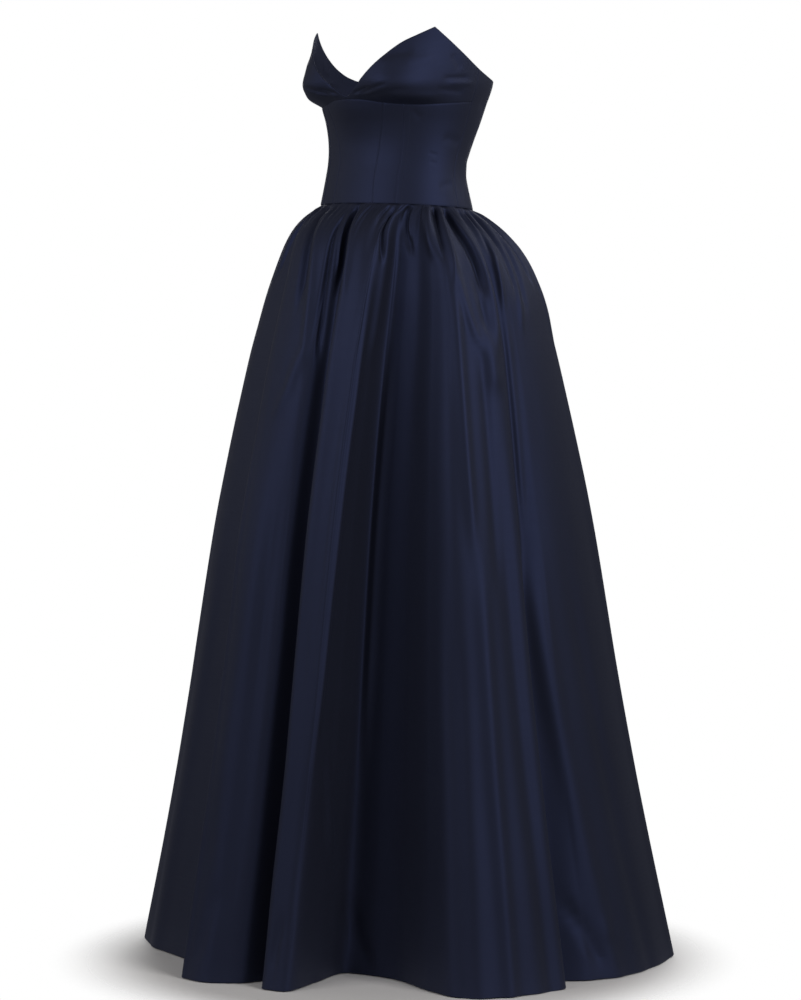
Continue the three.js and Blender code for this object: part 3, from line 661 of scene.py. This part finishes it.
# Creases down the skirt: where each starts and ends, by turn at the waist and drop below
# the seam, how far it bows to the wearer's left on the way, in degrees, and how wide and deep it
# is in mm. A depth below 0 is a trough and one above 0 a ridge.
SKIRT_CREASES = table(
    "turn drop end_turn end_drop bow width depth",
    # Slots and pleats under the waist seam, from the front right round to the left side
    (-44, -40, -47, 130, 0, 5, -6),
    (-36, -30, -34, 120, 0, 5.5, 3.5),
    (-27, -40, -14, 175, 3, 7, -7.5),
    (-18, -30, -1, 270, 3, 7, 4.5),
    (0, 205, -18, 335, 0, 10, 3.2),
    (2, -30, 8, 260, 0, 5, -8),
    (6, 0, 10, 120, 0, 3.5, 4),
    (5, -40, 11, 150, 2, 4.5, -8),
    (17, -30, 21, 150, 0, 6, 3.5),
    (33, -35, 41.5, 95, 2.5, 4.2, -9),
    (43.5, 20, 42.5, 260, 0, 12, 3.5),
    (47.5, -25, 54, 85, 0, 5, -5),
    (50, -15, 53, 60, 0, 3, 3),
    (60.5, -60, 62, 95, 0, 10, 7.5),
    (67, -35, 65.5, 90, 0, 4.2, -7.5),
    (71.5, -30, 68, 130, 0, 4.5, 5),
    (74.5, -30, 78.5, 150, 1.2, 5.2, -9.5),
    (76, -10, 79, 245, 4, 6.5, 4.2),
    (69.5, 45, 78.5, 245, -2.5, 6.5, 3.6),
    (76, 90, 78.5, 215, 0, 7, -4.5),
    (78, 165, 78.5, 290, 0, 13, 5),
    (99, -35, 93.5, 90, 0, 4.5, -7.5),
    (97, -10, 92.5, 170, 0, 5, 4.5),
    (108, -30, 101, 150, 0, 4.5, -5.5),
    (106, 30, 100, 200, 0, 4, 3.2),
    (111, 20, 104, 170, 0, 5, -4),
    # The long soft ridges and troughs of the front
    (-46, 380, -48, 1500, 0, 20, 4),
    (-18, 330, -21, 1500, 0, 26, 4),
    (-7, 310, -9, 1500, 0, 18, -4),
    (39.5, 90, 38.5, 900, 0, 8, 6),
    (48.5, 160, 48, 900, 0, 9, 5),
    (67.5, 60, 71, 560, 0, 9, 6),
    (65, 480, 65.5, 1600, 0, 16, -6),
    (72, 380, 73.5, 1600, 0, 14, 7),
    (75.5, 170, 76, 620, 0, 9, -4),
    (77.5, 200, 80, 1600, 0, 19, -9),
    (87, 90, 87.5, 620, 0, 15, 9),
    (-31.5, 200, -31, 1500, 0, 7, 3),
    (93, 110, 92, 520, 0, 7, 4.5),
    (90, 380, 108.5, 1500, -1, 18, 5.5),
    (104, 420, 116, 1500, 0, 17, -3.5),
    # Dents and short diagonal creases near the hem of the front
    (45, 1050, 52, 1185, 0, 15, -4),
    (41, 820, 44, 1010, 0, 9, 3),
    (92, 1045, 100, 1165, 0, 12, -4.5),
    (98, 1085, 110, 1140, 0, 8, 2.8),
    (30, 1060, 24, 1150, 0, 9, -2.4),
    (-16, 1020, -24, 1160, 0, 12, -2.6),
    # Pleats and slots round the left side, the back and the right side
    (118, -35, 115, 130, 0, 5, -7),
    (123, -30, 120, 230, 0, 6, 4.5),
    (127, -30, 131, 170, 1.5, 5, -8),
    (136, -40, 134, 120, 0, 4.5, 4),
    (141, -30, 144, 210, 2, 5, -8.5),
    (149, -30, 147, 260, 0, 8, 5),
    (157, -35, 153, 140, 0, 4.5, -7),
    (163, -30, 166, 190, 0, 6, 4.5),
    (171, -35, 169, 120, 0, 4.5, -6.5),
    (-172, -30, -169, 170, 0, 5.5, 4),
    (-165, -35, -168, 150, 0, 4.5, -8),
    (-157, -30, -154, 240, 0, 7, 5),
    (-149, -35, -151, 130, 0, 5, -7),
    (-143, -30, -140, 200, 2, 6, 4.5),
    (-134, -35, -137, 190, 0, 5, -8.5),
    (-127, -35, -126, 110, 0, 4.5, 4),
    (-119, -35, -116, 150, 0, 4.5, -7),
    (-111, -30, -113, 230, 0, 7, 5),
    (-104, -35, -101, 130, 0, 4.5, -7.5),
    (-96, -30, -94, 180, 0, 6, 4),
    (-86, -35, -88, 150, 0, 5, -7.5),
    (-79, -30, -81, 230, 0, 6.5, 5),
    (-71, -35, -69, 120, 0, 4.5, -6.5),
    (-62, -30, -64, 200, 0, 6, 4.5),
    (-55, -35, -53, 140, 0, 4.5, -7),
    # Long ridges, troughs and slanting creases of the hidden sides
    (121, 150, 123, 1500, 0, 18, 5),
    (131, 260, 128, 760, 0, 12, -4),
    (150, 200, 154, 1500, 0, 16, 5),
    (143, 170, 158, 330, 0, 8, 3),
    (165, 230, 163, 900, 0, 12, -4),
    (-176, 240, -174, 820, 0, 11, 3.5),
    (-163, 200, -160, 1500, 0, 16, 5),
    (-150, 190, -164, 340, 0, 8, 3),
    (-152, 300, -150, 1500, 0, 18, -4),
    (-129, 180, -127, 1500, 0, 15, 4.5),
    (-115, 240, -112, 1500, 0, 18, 5),
    (-107, 160, -121, 300, 0, 8, 3),
    (-104, 420, -102, 1300, 0, 14, -4),
    (-88, 200, -86, 1500, 0, 15, 4.5),
    (-76, 180, -66, 320, 0, 8, 3),
    (-74, 300, -77, 1500, 0, 18, -3.5),
    (-62, 240, -64, 1500, 0, 17, 5),
    # Dents at the hem of the hidden sides
    (127, 1040, 134, 1165, 0, 12, -4.5),
    (157, 1060, 150, 1180, 0, 10, -4),
    (-168, 1050, -162, 1170, 0, 11, -4),
    (-138, 1090, -126, 1150, 0, 8, 3),
    (-117, 1040, -110, 1170, 0, 12, -4.5),
    (-68, 1050, -60, 1160, 0, 12, -4),
)

# The small puckers between the pleats: how many lie round the waist, from what seed, and the
# least and greatest place in its share of the waist, width in degrees, depth in mm, reach in
# mm, and lean in degrees over the reach
PUCKERS = 150
PUCKER_SEED = 11
PUCKER_WIDTHS = (0.75, 1.5)
PUCKER_DEPTHS = (1.0, 3.4)
PUCKER_REACHES = (16, 92)
PUCKER_PLACES = (0.15, 0.85)
PUCKER_LEANS = (-1.5, 1.5)

# The skirt's top edge is sewn flat: the drop at which its relief is free, and the share of it
# that the seam leaves
SEAM_HOLD = 9.0
SEAM_HELD = 0.12

# The zip keeps the cloth flat beside the centre back seam: how far to each side, over what
# width that ends, and the drops between which it ends downwards
ZIP_HOLD = 13.0
ZIP_HOLD_FADE = 16.0
ZIP_HOLD_DROPS = (152.0, 215.0)

# The cloth's slow waves: cells round the skirt and down it, the height in mm, and the seed, and
# the drop at which they have their full height
SKIRT_WAVES = table(
    "round down height seed",
    (46, 7, 1.3, 3),
    (104, 17, 0.22, 4),
)
WAVES_IN_FULL = 120.0


def drift(u, v, cells_u, cells_v, seed):
    """Smooth noise from -1 to 1 for places from 0 to 1 across and down, which repeats across."""
    cells_u, cells_v = int(cells_u), int(cells_v)
    grid = np.random.default_rng(int(seed)).uniform(-1, 1, (cells_u, cells_v + 2))
    i = np.floor(u * cells_u).astype(int)
    j = np.floor(v * cells_v).astype(int)
    s = smooth(u * cells_u - i)
    t = smooth(v * cells_v - j)
    near, far = i % cells_u, (i + 1) % cells_u
    return mix(mix(grid[near, j], grid[far, j], s), mix(grid[near, j + 1], grid[far, j + 1], s), t)


def pucker_relief(turn, drop):
    """How far the small puckers under the waist seam raise the cloth."""
    rng = np.random.default_rng(PUCKER_SEED)
    spacing = 360 / PUCKERS
    relief = 0 * turn
    for i in range(PUCKERS):
        middle = (i + rng.uniform(*PUCKER_PLACES)) * spacing - 180
        width = rng.uniform(*PUCKER_WIDTHS)
        depth = rng.uniform(*PUCKER_DEPTHS)
        low, high = PUCKER_REACHES
        reach = mix(low, high, rng.uniform(0, 1) ** 2)
        lean = rng.uniform(*PUCKER_LEANS)
        down = drop / reach
        aside = wrapped(turn - middle - lean * down)
        relief = relief - depth * (1 - smooth(down)) * bell(aside, 0, width)
    return relief


def skirt_relief(turn, drop, pace):
    """How far the creases raise the skirt's cloth. The pace is its width in mm for each degree."""
    relief = pucker_relief(turn, drop)
    for start_turn, start, end_turn, end, bow, width, depth in zip(*SKIRT_CREASES.values()):
        t = (drop - start) / (end - start)
        middle = mix(start_turn, end_turn, t) + bow * 4 * t * (1 - t)
        aside = (turn - middle) * pace
        relief = relief + depth * crease_fade(t) * bell(aside, 0, width)
    for cells_round, cells_down, height, seed in zip(*SKIRT_WAVES.values()):
        wave = drift((turn + 180) / 360, drop / SKIRT_LENGTH, cells_round, cells_down, seed)
        relief = relief + height * wave * smooth(drop / WAVES_IN_FULL)
    beside = 1 - smooth(((BACK_TURN - np.abs(turn)) * pace - ZIP_HOLD) / ZIP_HOLD_FADE)
    start, end = ZIP_HOLD_DROPS
    held = beside * (1 - smooth((drop - start) / (end - start)))
    return relief * mix(SEAM_HELD, 1, smooth(drop / SEAM_HOLD)) * (1 - held)


def skirt_drops():
    """Drops of the skirt's rows from the hem up, close together at the hem and the waist."""
    even = SKIRT_LENGTH * np.linspace(0, 1, SKIRT_ROWS) ** SKIRT_ROW_CROWDING
    hem = SKIRT_LENGTH - np.array(HEM_ROWS)
    fold = TURN_UP_DROP + np.array(TURN_UP_ROWS)
    kept = even[(even > SEAM_ROWS[-1]) & (even < hem[-1] - HEM_CLEARANCE)]
    kept = kept[np.abs(kept - TURN_UP_DROP) > TURN_UP_CLEARANCE]
    return np.unique(np.concatenate([SEAM_ROWS, kept, fold, hem]))[::-1]


def skirt_panel(name, material, from_fold, to_fold):
    """A panel of the skirt between two rows of FOLDS, which are its seams."""
    columns = (to_fold - from_fold) * SKIRT_COLUMNS_PER_FOLD
    place = np.linspace(from_fold, to_fold, columns + 1)
    step = place[1] - place[0]
    place = np.concatenate([[place[0] - step], place, [place[-1] + step]])
    drops = skirt_drops()
    point = skirt_points(place, drops)
    turn = waist_turn_at(place)
    across = np.gradient(point, axis=0)
    up = np.gradient(point, drops, axis=1)
    normal = unit(np.cross(across, -up))
    pace = np.linalg.norm(across, axis=-1) / np.gradient(turn)[:, None]
    above = drops[None, :]
    relief = skirt_relief(wrapped(turn)[:, None], above, pace)

    point, normal, relief = point[1:-1], normal[1:-1], relief[1:-1]
    from_start = walked(point, 0)
    from_end = from_start[-1] - from_start
    along_row = unit(np.gradient(point, axis=0))
    ends = np.zeros(point.shape[:2])
    ends[0] = PANEL_GAP / 2
    ends[-1] = -PANEL_GAP / 2
    point = point + along_row * ends[..., None]

    below = SKIRT_LENGTH - above
    groove = seam_groove(from_start, from_end, above)
    rounding = lip(below, SKIRT_WALL)
    turn_up = HEM_TURN_UP_THICKNESS * (below < HEM_TURN_UP) * smooth(below / HEM_TURN_UP_FADE)
    normal = levelled(normal, below, above)
    outer = point + normal * (relief - groove - rounding)[..., None]
    inner = point + normal * (relief - SKIRT_WALL - turn_up + rounding)[..., None]
    piece = wall_mesh(name, outer, inner, grain_of(point), material)
    fold = np.argmin(np.abs(drops - TURN_UP_DROP))
    return piece, (inner[:, fold], -normal[:, fold])


def make_skirt(material):
    """The skirt's panels, and the line inside each along which its hem is sewn up."""
    spans = {
        "skirt_back_right": (0, RIGHT_SEAM_FOLD),
        "skirt_front": (RIGHT_SEAM_FOLD, LEFT_SEAM_FOLD),
        "skirt_back_left": (LEFT_SEAM_FOLD, FOLD_COUNT),
    }
    pieces, hem_lines = {}, []
    for node, (from_fold, to_fold) in spans.items():
        pieces[node], hem_line = skirt_panel(f"{node}_cloth", material, from_fold, to_fold)
        hem_lines.append(hem_line)
    return pieces, hem_lines


# The pitch, length and thickness in mm of the hem's stitches, of the channels' and the tape's,
# and of the zip's teeth, and how high a stitch's middle lies over the cloth
HEM_STITCH = (8.0, 3.4, 0.5)
FINE_STITCH = (2.7, 2.0, 0.34)
ZIP_TOOTH = (1.3, 2.2, 0.9)
STITCH_RISE = 0.12

# The channels' sewing: how far it stays from the corset's seams and its top edge, how far its
# second line stays in from the channel's edge, the points on a line, and the turns at which
# the side channel meets the waist seam and the seam under the cup
SEWING_FROM_SEAM = 4.0
SEWING_FROM_TOP = 5.0
SEWING_INSET = 0.5
SEWING_POINTS = 80
CHANNEL_FOOT_TURN = 36.0
CHANNEL_HEAD_TURN = 38.0


def resampled(points, pitch):
    """Places a pitch apart along a line of points, as fractions of its rows."""
    distances = walked(points, 0)
    marks = np.arange(pitch, distances[-1] - pitch, pitch)
    return np.interp(marks, distances, np.arange(len(points)))


def rows_at(values, places):
    """The rows of an array at places between whole row numbers."""
    low = np.floor(places).astype(int)
    return mix(values[low], values[low + 1], (places - low)[:, None])


def spindles(middles, ends, ups, thickness):
    """Slim spindles, as corners and faces: each one's middle, half its length, and its up side."""
    sides = unit(np.cross(ends, ups)) * thickness / 2
    rise = ups * thickness / 2
    corners = middles[:, None] + np.stack([-ends, ends, sides, rise, -sides, -rise], axis=1)
    shape = np.array([
        (0, 3, 2), (0, 4, 3), (0, 5, 4), (0, 2, 5), (1, 2, 3), (1, 3, 4), (1, 4, 5), (1, 5, 2),
    ])
    count = corners.shape[1]
    faces = shape[None] + (np.arange(len(middles)) * count)[:, None, None]
    return corners.reshape(-1, 3), faces.reshape(-1, 3)


def joined_mesh(name, groups, material):
    """One object from several groups of corners in mm and faces."""
    corners, faces, count = [], [], 0
    for points, triangles in groups:
        corners.append(points * MM)
        faces.append(triangles + count)
        count += len(points)
    mesh = bpy.data.meshes.new(name)
    mesh.from_pydata(np.concatenate(corners).tolist(), [], np.concatenate(faces).tolist())
    return add_smooth_object(name, mesh, material)


def stitches(points, ups, size):
    """A line of stitches lying on a surface whose outward directions are given."""
    pitch, length, thickness = size
    places = resampled(points, pitch)
    middles = rows_at(points, places)
    ups = unit(rows_at(ups, places))
    ahead = unit(rows_at(np.gradient(points, axis=0), places))
    return spindles(middles + ups * STITCH_RISE, ahead * length / 2, ups, thickness)


def bodice_line(turns, heights):
    """Points on the finished corset's face along a line, and the directions out of it."""
    point, normal = bodice_face(turns, heights, False)
    relief = bodice_relief(turns, heights, False) + channel_relief(turns, heights)
    return point + normal * relief[:, None], normal


def make_channel_sewing(thread):
    """The two lines of sewing along each boning channel."""
    side_low = waist_seam_height(CHANNEL_FOOT_TURN) + SEWING_FROM_SEAM
    side_high = underbust_height(CHANNEL_HEAD_TURN) - SEWING_FROM_SEAM
    back_low = waist_seam_height(BACK_CHANNEL_TURN) + SEWING_FROM_SEAM
    back_high = top_height(BACK_CHANNEL_TURN) - SEWING_FROM_TOP
    channels = (
        (seam_turn(CHANNEL_SEAM, 1), side_low, side_high),
        (fixed_turn(BACK_CHANNEL_TURN), back_low, back_high),
    )
    groups = []
    for side in (1, -1):
        for first_edge, low, high in channels:
            heights = np.linspace(low, high, SEWING_POINTS)
            for aside in (CHANNEL_EDGE, CHANNEL_WIDTH - SEWING_INSET):
                turns = side * (first_edge(heights) + aside / MM_PER_DEGREE)
                groups.append(stitches(*bodice_line(turns, heights), FINE_STITCH))
    return joined_mesh("channel_sewing", groups, thread)


def make_hem_sewing(hem_lines, thread):
    groups = [stitches(points, ups, HEM_STITCH) for points, ups in hem_lines]
    return joined_mesh("hem_sewing", groups, thread)


# The zip's tape, inside the centre back seam, and its coil of teeth. The drop is how far it
# reaches below the waist seam.
TAPE_HALF_WIDTH = 12.0
TAPE_THICKNESS = 1.0
TAPE_CLEARANCE = 0.75
TAPE_DROP = 152.0
TAPE_TOP = 118.5
TAPE_COLUMNS = 24
TAPE_ROWS = 110
TAPE_SEWING_ASIDE = 7.5
TAPE_RIB = 0.12
TAPE_RIB_PITCH = 2.0
TOOTH_ASIDE = 1.15


def centre_back_points(across, heights):
    """The outer face beside the centre back seam, as [across, height, xyz], across in mm."""
    columns = []
    for height in heights:
        drop = waist_seam_height(BACK_TURN) - height
        if drop <= 0:
            half_width = along(BODY_SECTIONS, "height", "half_width", height)
            turn = BACK_TURN - np.degrees(np.arcsin(across / half_width))
            columns.append(bodice_point(turn, height + 0 * across, False))
        else:
            drops = np.array([drop])
            first = skirt_points(np.array([0.0, 1.0]), drops)[:, 0]
            pace = np.linalg.norm(first[1] - first[0])
            columns.append(skirt_points(-across / pace, drops)[:, 0])
    return np.stack(columns, axis=1)


def make_zip(tape_material, metal, thread):
    """The woven tape, its coil of teeth and the sewing that holds it."""
    across = np.linspace(TAPE_HALF_WIDTH, -TAPE_HALF_WIDTH, TAPE_COLUMNS + 1)
    seam = waist_seam_height(BACK_TURN)
    heights = np.linspace(seam - TAPE_DROP, TAPE_TOP, TAPE_ROWS + 1)
    point = centre_back_points(across, heights)
    normal = unit(np.cross(np.gradient(point, axis=0), np.gradient(point, axis=1)))
    depth = BODICE_WALL + TAPE_CLEARANCE
    rib = TAPE_RIB * np.cos(2 * np.pi * across / TAPE_RIB_PITCH)[:, None, None]
    outer = point - normal * depth
    inner = point - normal * (depth + TAPE_THICKNESS - rib - TAPE_RIB)
    tape = wall_mesh("zip_tape_woven", outer, inner, grain_of(point), tape_material)
    middle = TAPE_COLUMNS // 2
    pitch, length, thickness = ZIP_TOOTH
    centre = inner[middle]
    places = resampled(centre, pitch)
    out = unit(rows_at(-normal[middle], places))
    ahead = unit(rows_at(np.gradient(centre, axis=0), places))
    aside = unit(np.cross(out, ahead))
    turns = np.where(np.arange(len(places)) % 2, 1, -1)[:, None]
    middles = rows_at(centre, places) + aside * turns * TOOTH_ASIDE + out * thickness / 2
    teeth = joined_mesh("zip_teeth", [spindles(middles, aside * length, out, thickness)], metal)
    rows = []
    for side in (1, -1):
        column = middle + side * round(TAPE_SEWING_ASIDE / (2 * TAPE_HALF_WIDTH) * TAPE_COLUMNS)
        rows.append(stitches(inner[column], -normal[column], FINE_STITCH))
    return tape, teeth, joined_mesh("zip_sewing", rows, thread)


def declare_cloth(node):
    """Work out which corset panels lie above a skirt panel; nothing more is done with them."""
    skirt = node.startswith("skirt")
    above = ["corset_front", "corset_side_left", "corset_side_right"] if node == "skirt_front" else []
    if skirt and not above:
        above = [node.replace("skirt", "corset")]


# The satin's dark and light tone, how rough its face is between its slubs and on them, how much
# rougher its wrong side is, and how high a slub stands against the twill. Then the lacquer's
# roughness, unworn and worn.
NAVY_DEEP = (0.012, 0.0122, 0.015, 1)
NAVY_LIT = (0.015, 0.016, 0.022, 1)
FACE_ROUGHNESS = (0.52, 0.64)
WRONG_SIDE_ROUGHER = 0.2
SLUB_HEIGHT = 0.6
LACQUER_ROUGHNESS = (0.25, 0.45)


class Look:
    """A material or a world, built from nodes."""

    def __init__(self, owner):
        owner.use_nodes = True
        self.owner = owner
        self.tree = owner.node_tree

    def feed(self, socket, value):
        """Link an input to another node's output, or set its value."""
        if isinstance(value, bpy.types.NodeSocket):
            self.tree.links.new(value, socket)
        else:
            socket.default_value = value

    def feed_all(self, node, inputs):
        """Feed a node's inputs by name, with _ for a space."""
        for key, value in inputs.items():
            self.feed(node.inputs[key.replace("_", " ")], value)
        return node

    def add(self, kind, **inputs):
        return self.feed_all(self.tree.nodes.new(f"ShaderNode{kind}"), inputs)

    def place(self, space):
        return self.add("TexCoord").outputs[space]

    def bands(self, direction, **inputs):
        """Straight bands along a direction, as a factor."""
        node = self.add("TexWave", **inputs)
        node.bands_direction = direction
        return node.outputs["Fac"]

    def clouds(self, **inputs):
        return self.add("TexNoise", **inputs).outputs["Fac"]

    def calculate(self, operation, *values):
        node = self.add("Math")
        node.operation = operation
        for socket, value in zip(node.inputs, values):
            self.feed(socket, value)
        return node.outputs[0]

    def between(self, factor, low, high):
        """A number from low to high, by a factor."""
        return self.add("MapRange", Value=factor, To_Min=low, To_Max=high).outputs["Result"]

    def tones(self, factor, dark, light):
        """A colour from a dark tone to a light one, by a factor."""
        node = self.add("Mix", Factor=factor)
        node.data_type = "RGBA"
        node.inputs["A"].default_value = dark
        node.inputs["B"].default_value = light
        return node.outputs["Result"]

    def bump(self, **inputs):
        return self.add("Bump", **inputs).outputs["Normal"]

    def finish(self, shader="Principled BSDF", **inputs):
        """Feed the last node and hand over what was built."""
        self.feed_all(self.tree.nodes[shader], inputs)
        return self.owner


def satin_material():
    """Heavy satin: a close twill face, faint slubs along the weft, and a broad tinted gloss."""
    look = Look(bpy.data.materials.new("satin"))
    cloth = look.place("UV")
    threads = look.add("Mapping", Vector=cloth, Scale=(1500, 1100, 1)).outputs[0]
    weft = look.add("Mapping", Vector=cloth, Scale=(14, 420, 1)).outputs[0]
    twill = look.bands("DIAGONAL", Vector=threads, Scale=0.32, Distortion=0.6, Detail=1)
    slubs = look.clouds(Vector=weft, Scale=1, Detail=3, Roughness=0.6)
    shade = look.clouds(Vector=look.place("Object"), Scale=5.5, Detail=3)
    inside = look.add("Attribute")
    inside.attribute_name = "inside"
    face = look.between(slubs, *FACE_ROUGHNESS)
    relief = look.calculate("MULTIPLY_ADD", slubs, SLUB_HEIGHT, twill)
    return look.finish(
        Base_Color=look.tones(shade, NAVY_DEEP, NAVY_LIT),
        Roughness=look.calculate("MULTIPLY_ADD", inside.outputs["Fac"], WRONG_SIDE_ROUGHER, face),
        Normal=look.bump(Strength=0.22, Distance=0.00012, Height=relief),
        Specular_IOR_Level=0.6,
        Specular_Tint=(0.28, 0.38, 1.0, 1),
        Sheen_Weight=0.06,
        Sheen_Roughness=0.45,
        Sheen_Tint=(0.30, 0.36, 0.75, 1),
    )


def thread_material():
    """Navy sewing thread, twisted and a little shiny."""
    look = Look(bpy.data.materials.new("thread"))
    ply = look.bands("DIAGONAL", Vector=look.place("Object"), Scale=1600, Distortion=1)
    return look.finish(
        Base_Color=look.tones(ply, dark=(0.012, 0.014, 0.028, 1), light=(0.022, 0.025, 0.045, 1)),
        Normal=look.bump(Strength=0.3, Distance=0.0001, Height=ply),
        Roughness=0.5,
    )


def tape_material():
    """Woven zip tape: a fine herringbone of matt navy yarns."""
    look = Look(bpy.data.materials.new("zip_tape"))
    cloth = look.place("UV")
    warp = look.bands("X", Vector=cloth, Scale=420, Distortion=0.4)
    weft = look.bands("Y", Vector=cloth, Scale=520, Distortion=0.4)
    weave = look.calculate("MULTIPLY", warp, weft)
    return look.finish(
        Base_Color=look.tones(weave, dark=(0.008, 0.010, 0.024, 1), light=(0.016, 0.019, 0.042, 1)),
        Normal=look.bump(Strength=0.5, Distance=0.0002, Height=weave),
        Roughness=0.85,
    )


def metal_material():
    """Navy lacquer on the zip's metal, worn a little where fingers rub it."""
    look = Look(bpy.data.materials.new("zip_lacquer"))
    wear = look.clouds(Vector=look.place("Object"), Scale=900, Detail=4)
    return look.finish(
        Base_Color=look.tones(wear, dark=(0.012, 0.015, 0.04, 1), light=(0.022, 0.027, 0.06, 1)),
        Roughness=look.between(wear, *LACQUER_ROUGHNESS),
        Metallic=0.6,
    )


# The photograph's view: a camera to the front left, tipped slightly down
PHOTO_HEIGHT = 1000
CAMERA_TURN = 43.0
CAMERA_PITCH = 4.24
CAMERA_DISTANCE = 5.5
CAMERA_ASIDE = 0.0063
CAMERA_HEIGHT = -0.12
FOCAL_PIXELS = 3494
SENSOR_HEIGHT = 24.0


def standing(turn, distance, height=0):
    """A place about the dress, in metres."""
    angle = np.radians(turn)
    return Vector((np.sin(angle) * distance, -np.cos(angle) * distance, height))


def aimed(name, data, place, direction):
    """A camera or lamp in the scene, looking in a direction."""
    added = add_object(name, data)
    added.location = place
    added.rotation_euler = direction.to_track_quat("-Z", "Y").to_euler()
    return added


def make_camera():
    data = bpy.data.cameras.new("camera")
    data.sensor_fit = "VERTICAL"
    data.sensor_height = SENSOR_HEIGHT
    data.lens = SENSOR_HEIGHT * FOCAL_PIXELS / PHOTO_HEIGHT
    data.clip_end = 100
    place = standing(CAMERA_TURN, CAMERA_DISTANCE, CAMERA_HEIGHT)
    place = place + standing(CAMERA_TURN + 90, CAMERA_ASIDE)
    pitch = np.radians(CAMERA_PITCH)
    back = standing(CAMERA_TURN, np.cos(pitch), np.sin(pitch))
    bpy.context.scene.camera = aimed("camera", data, place, -back)


# The lamps are tall soft boxes in metres and watts: where each stands about the dress, how high,
# at what height it aims, and how wide, tall and bright it is
LAMPS = table(
    "turn distance height aim width tall power",
    (84, 3, 0.85, -0.35, 1.3, 2.6, 49),
    (-62, 3.4, 0.6, -0.4, 1.8, 2.6, 6.5),
    (-10, 4.2, 0.9, -0.2, 2.6, 2.4, 28),
    (146, 1.4, 0.8, 0.12, 0.7, 0.7, 5),
    (-8, 1.6, 0.45, 0.1, 0.9, 0.4, 4.2),
    (222, 3.6, 0.9, -0.3, 2.2, 2.6, 48),
)


def make_lamps():
    for turn, distance, height, aim, width, tall, power in zip(*LAMPS.values()):
        place = standing(turn, distance, height)
        data = bpy.data.lights.new("lamp", "AREA")
        data.shape = "RECTANGLE"
        data.size, data.size_y = width, tall
        data.energy = power
        aimed("lamp", data, place, Vector((0, 0, aim)) - place)


# The studio: how bright its white backdrop looks, how much light it sheds on the dress, and its
# floor in metres, of which a patch a little towards the camera shows before the rest fades out
BACKDROP = 1.0
AMBIENT = 0.13
FLOOR_RADIUS = 1.6
FLOOR_SIDES = 96
FLOOR_DROP = 0.0015
FLOOR_SHOWN = 0.37
FLOOR_FADED = 0.55
FLOOR_AHEAD = 0.06
FLOOR_COLOUR = (0.80, 0.775, 0.76, 1)


def make_floor():
    """A pale floor round the hem, which fades out into the white studio."""
    mesh = bpy.data.meshes.new("floor")
    low = HEM_HEIGHT * MM - FLOOR_DROP
    turns = np.linspace(0, 360, FLOOR_SIDES, endpoint=False)
    corners = [standing(turn, FLOOR_RADIUS, low) for turn in turns]
    mesh.from_pydata(corners, [], [tuple(range(FLOOR_SIDES))])
    floor = add_object("floor", mesh)
    to_middle = -standing(CAMERA_TURN, FLOOR_AHEAD, low)
    look = Look(bpy.data.materials.new("floor"))
    centred = look.add("Mapping", Vector=look.place("Object"), Location=to_middle)
    spread = look.add("VectorMath", Vector=centred.outputs[0])
    spread.operation = "LENGTH"
    length = spread.outputs["Value"]
    fade = look.add("MapRange", Value=length, From_Min=FLOOR_FADED, From_Max=FLOOR_SHOWN)
    fade.interpolation_type = "SMOOTHSTEP"
    alpha = fade.outputs["Result"]
    mesh.materials.append(look.finish(Base_Color=FLOOR_COLOUR, Roughness=0.8, Alpha=alpha))


def make_studio():
    """A white studio that looks bright and sheds a softer light of its own, and its lamps."""
    look = Look(bpy.data.worlds.new("studio"))
    seen = look.add("LightPath").outputs["Is Camera Ray"]
    strength = look.between(seen, AMBIENT, BACKDROP)
    scene = bpy.context.scene
    scene.world = look.finish("Background", Color=(1, 1, 1, 1), Strength=strength)
    scene.view_settings.view_transform = "Standard"
    make_lamps()


def main():
    make_camera()
    make_floor()
    make_studio()
    satin = satin_material()
    lacquer = metal_material()
    thread = thread_material()
    skirt, hem_lines = make_skirt(satin)
    cloth = {**make_bodice(satin), **skirt}
    for node, piece in cloth.items():
        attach(piece, "dress")
        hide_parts(node)
        declare_cloth(node)
    for sewing in (make_channel_sewing(thread), make_hem_sewing(hem_lines, thread)):
        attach(sewing, "dress")
    tape, teeth, zip_sewing = make_zip(tape_material(), lacquer, thread)
    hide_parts("zip_tape")
    for piece, slot in ((tape, "zip_tape"), (teeth, "zip_metal"), (zip_sewing, "zip_tape")):
        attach(piece, "dress")
    for node in ("zip_slider", "zip_pull"):
        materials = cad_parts[node].data.materials
        materials.clear()
        materials.append(lacquer)


main()
bpy.context.view_layer.update()
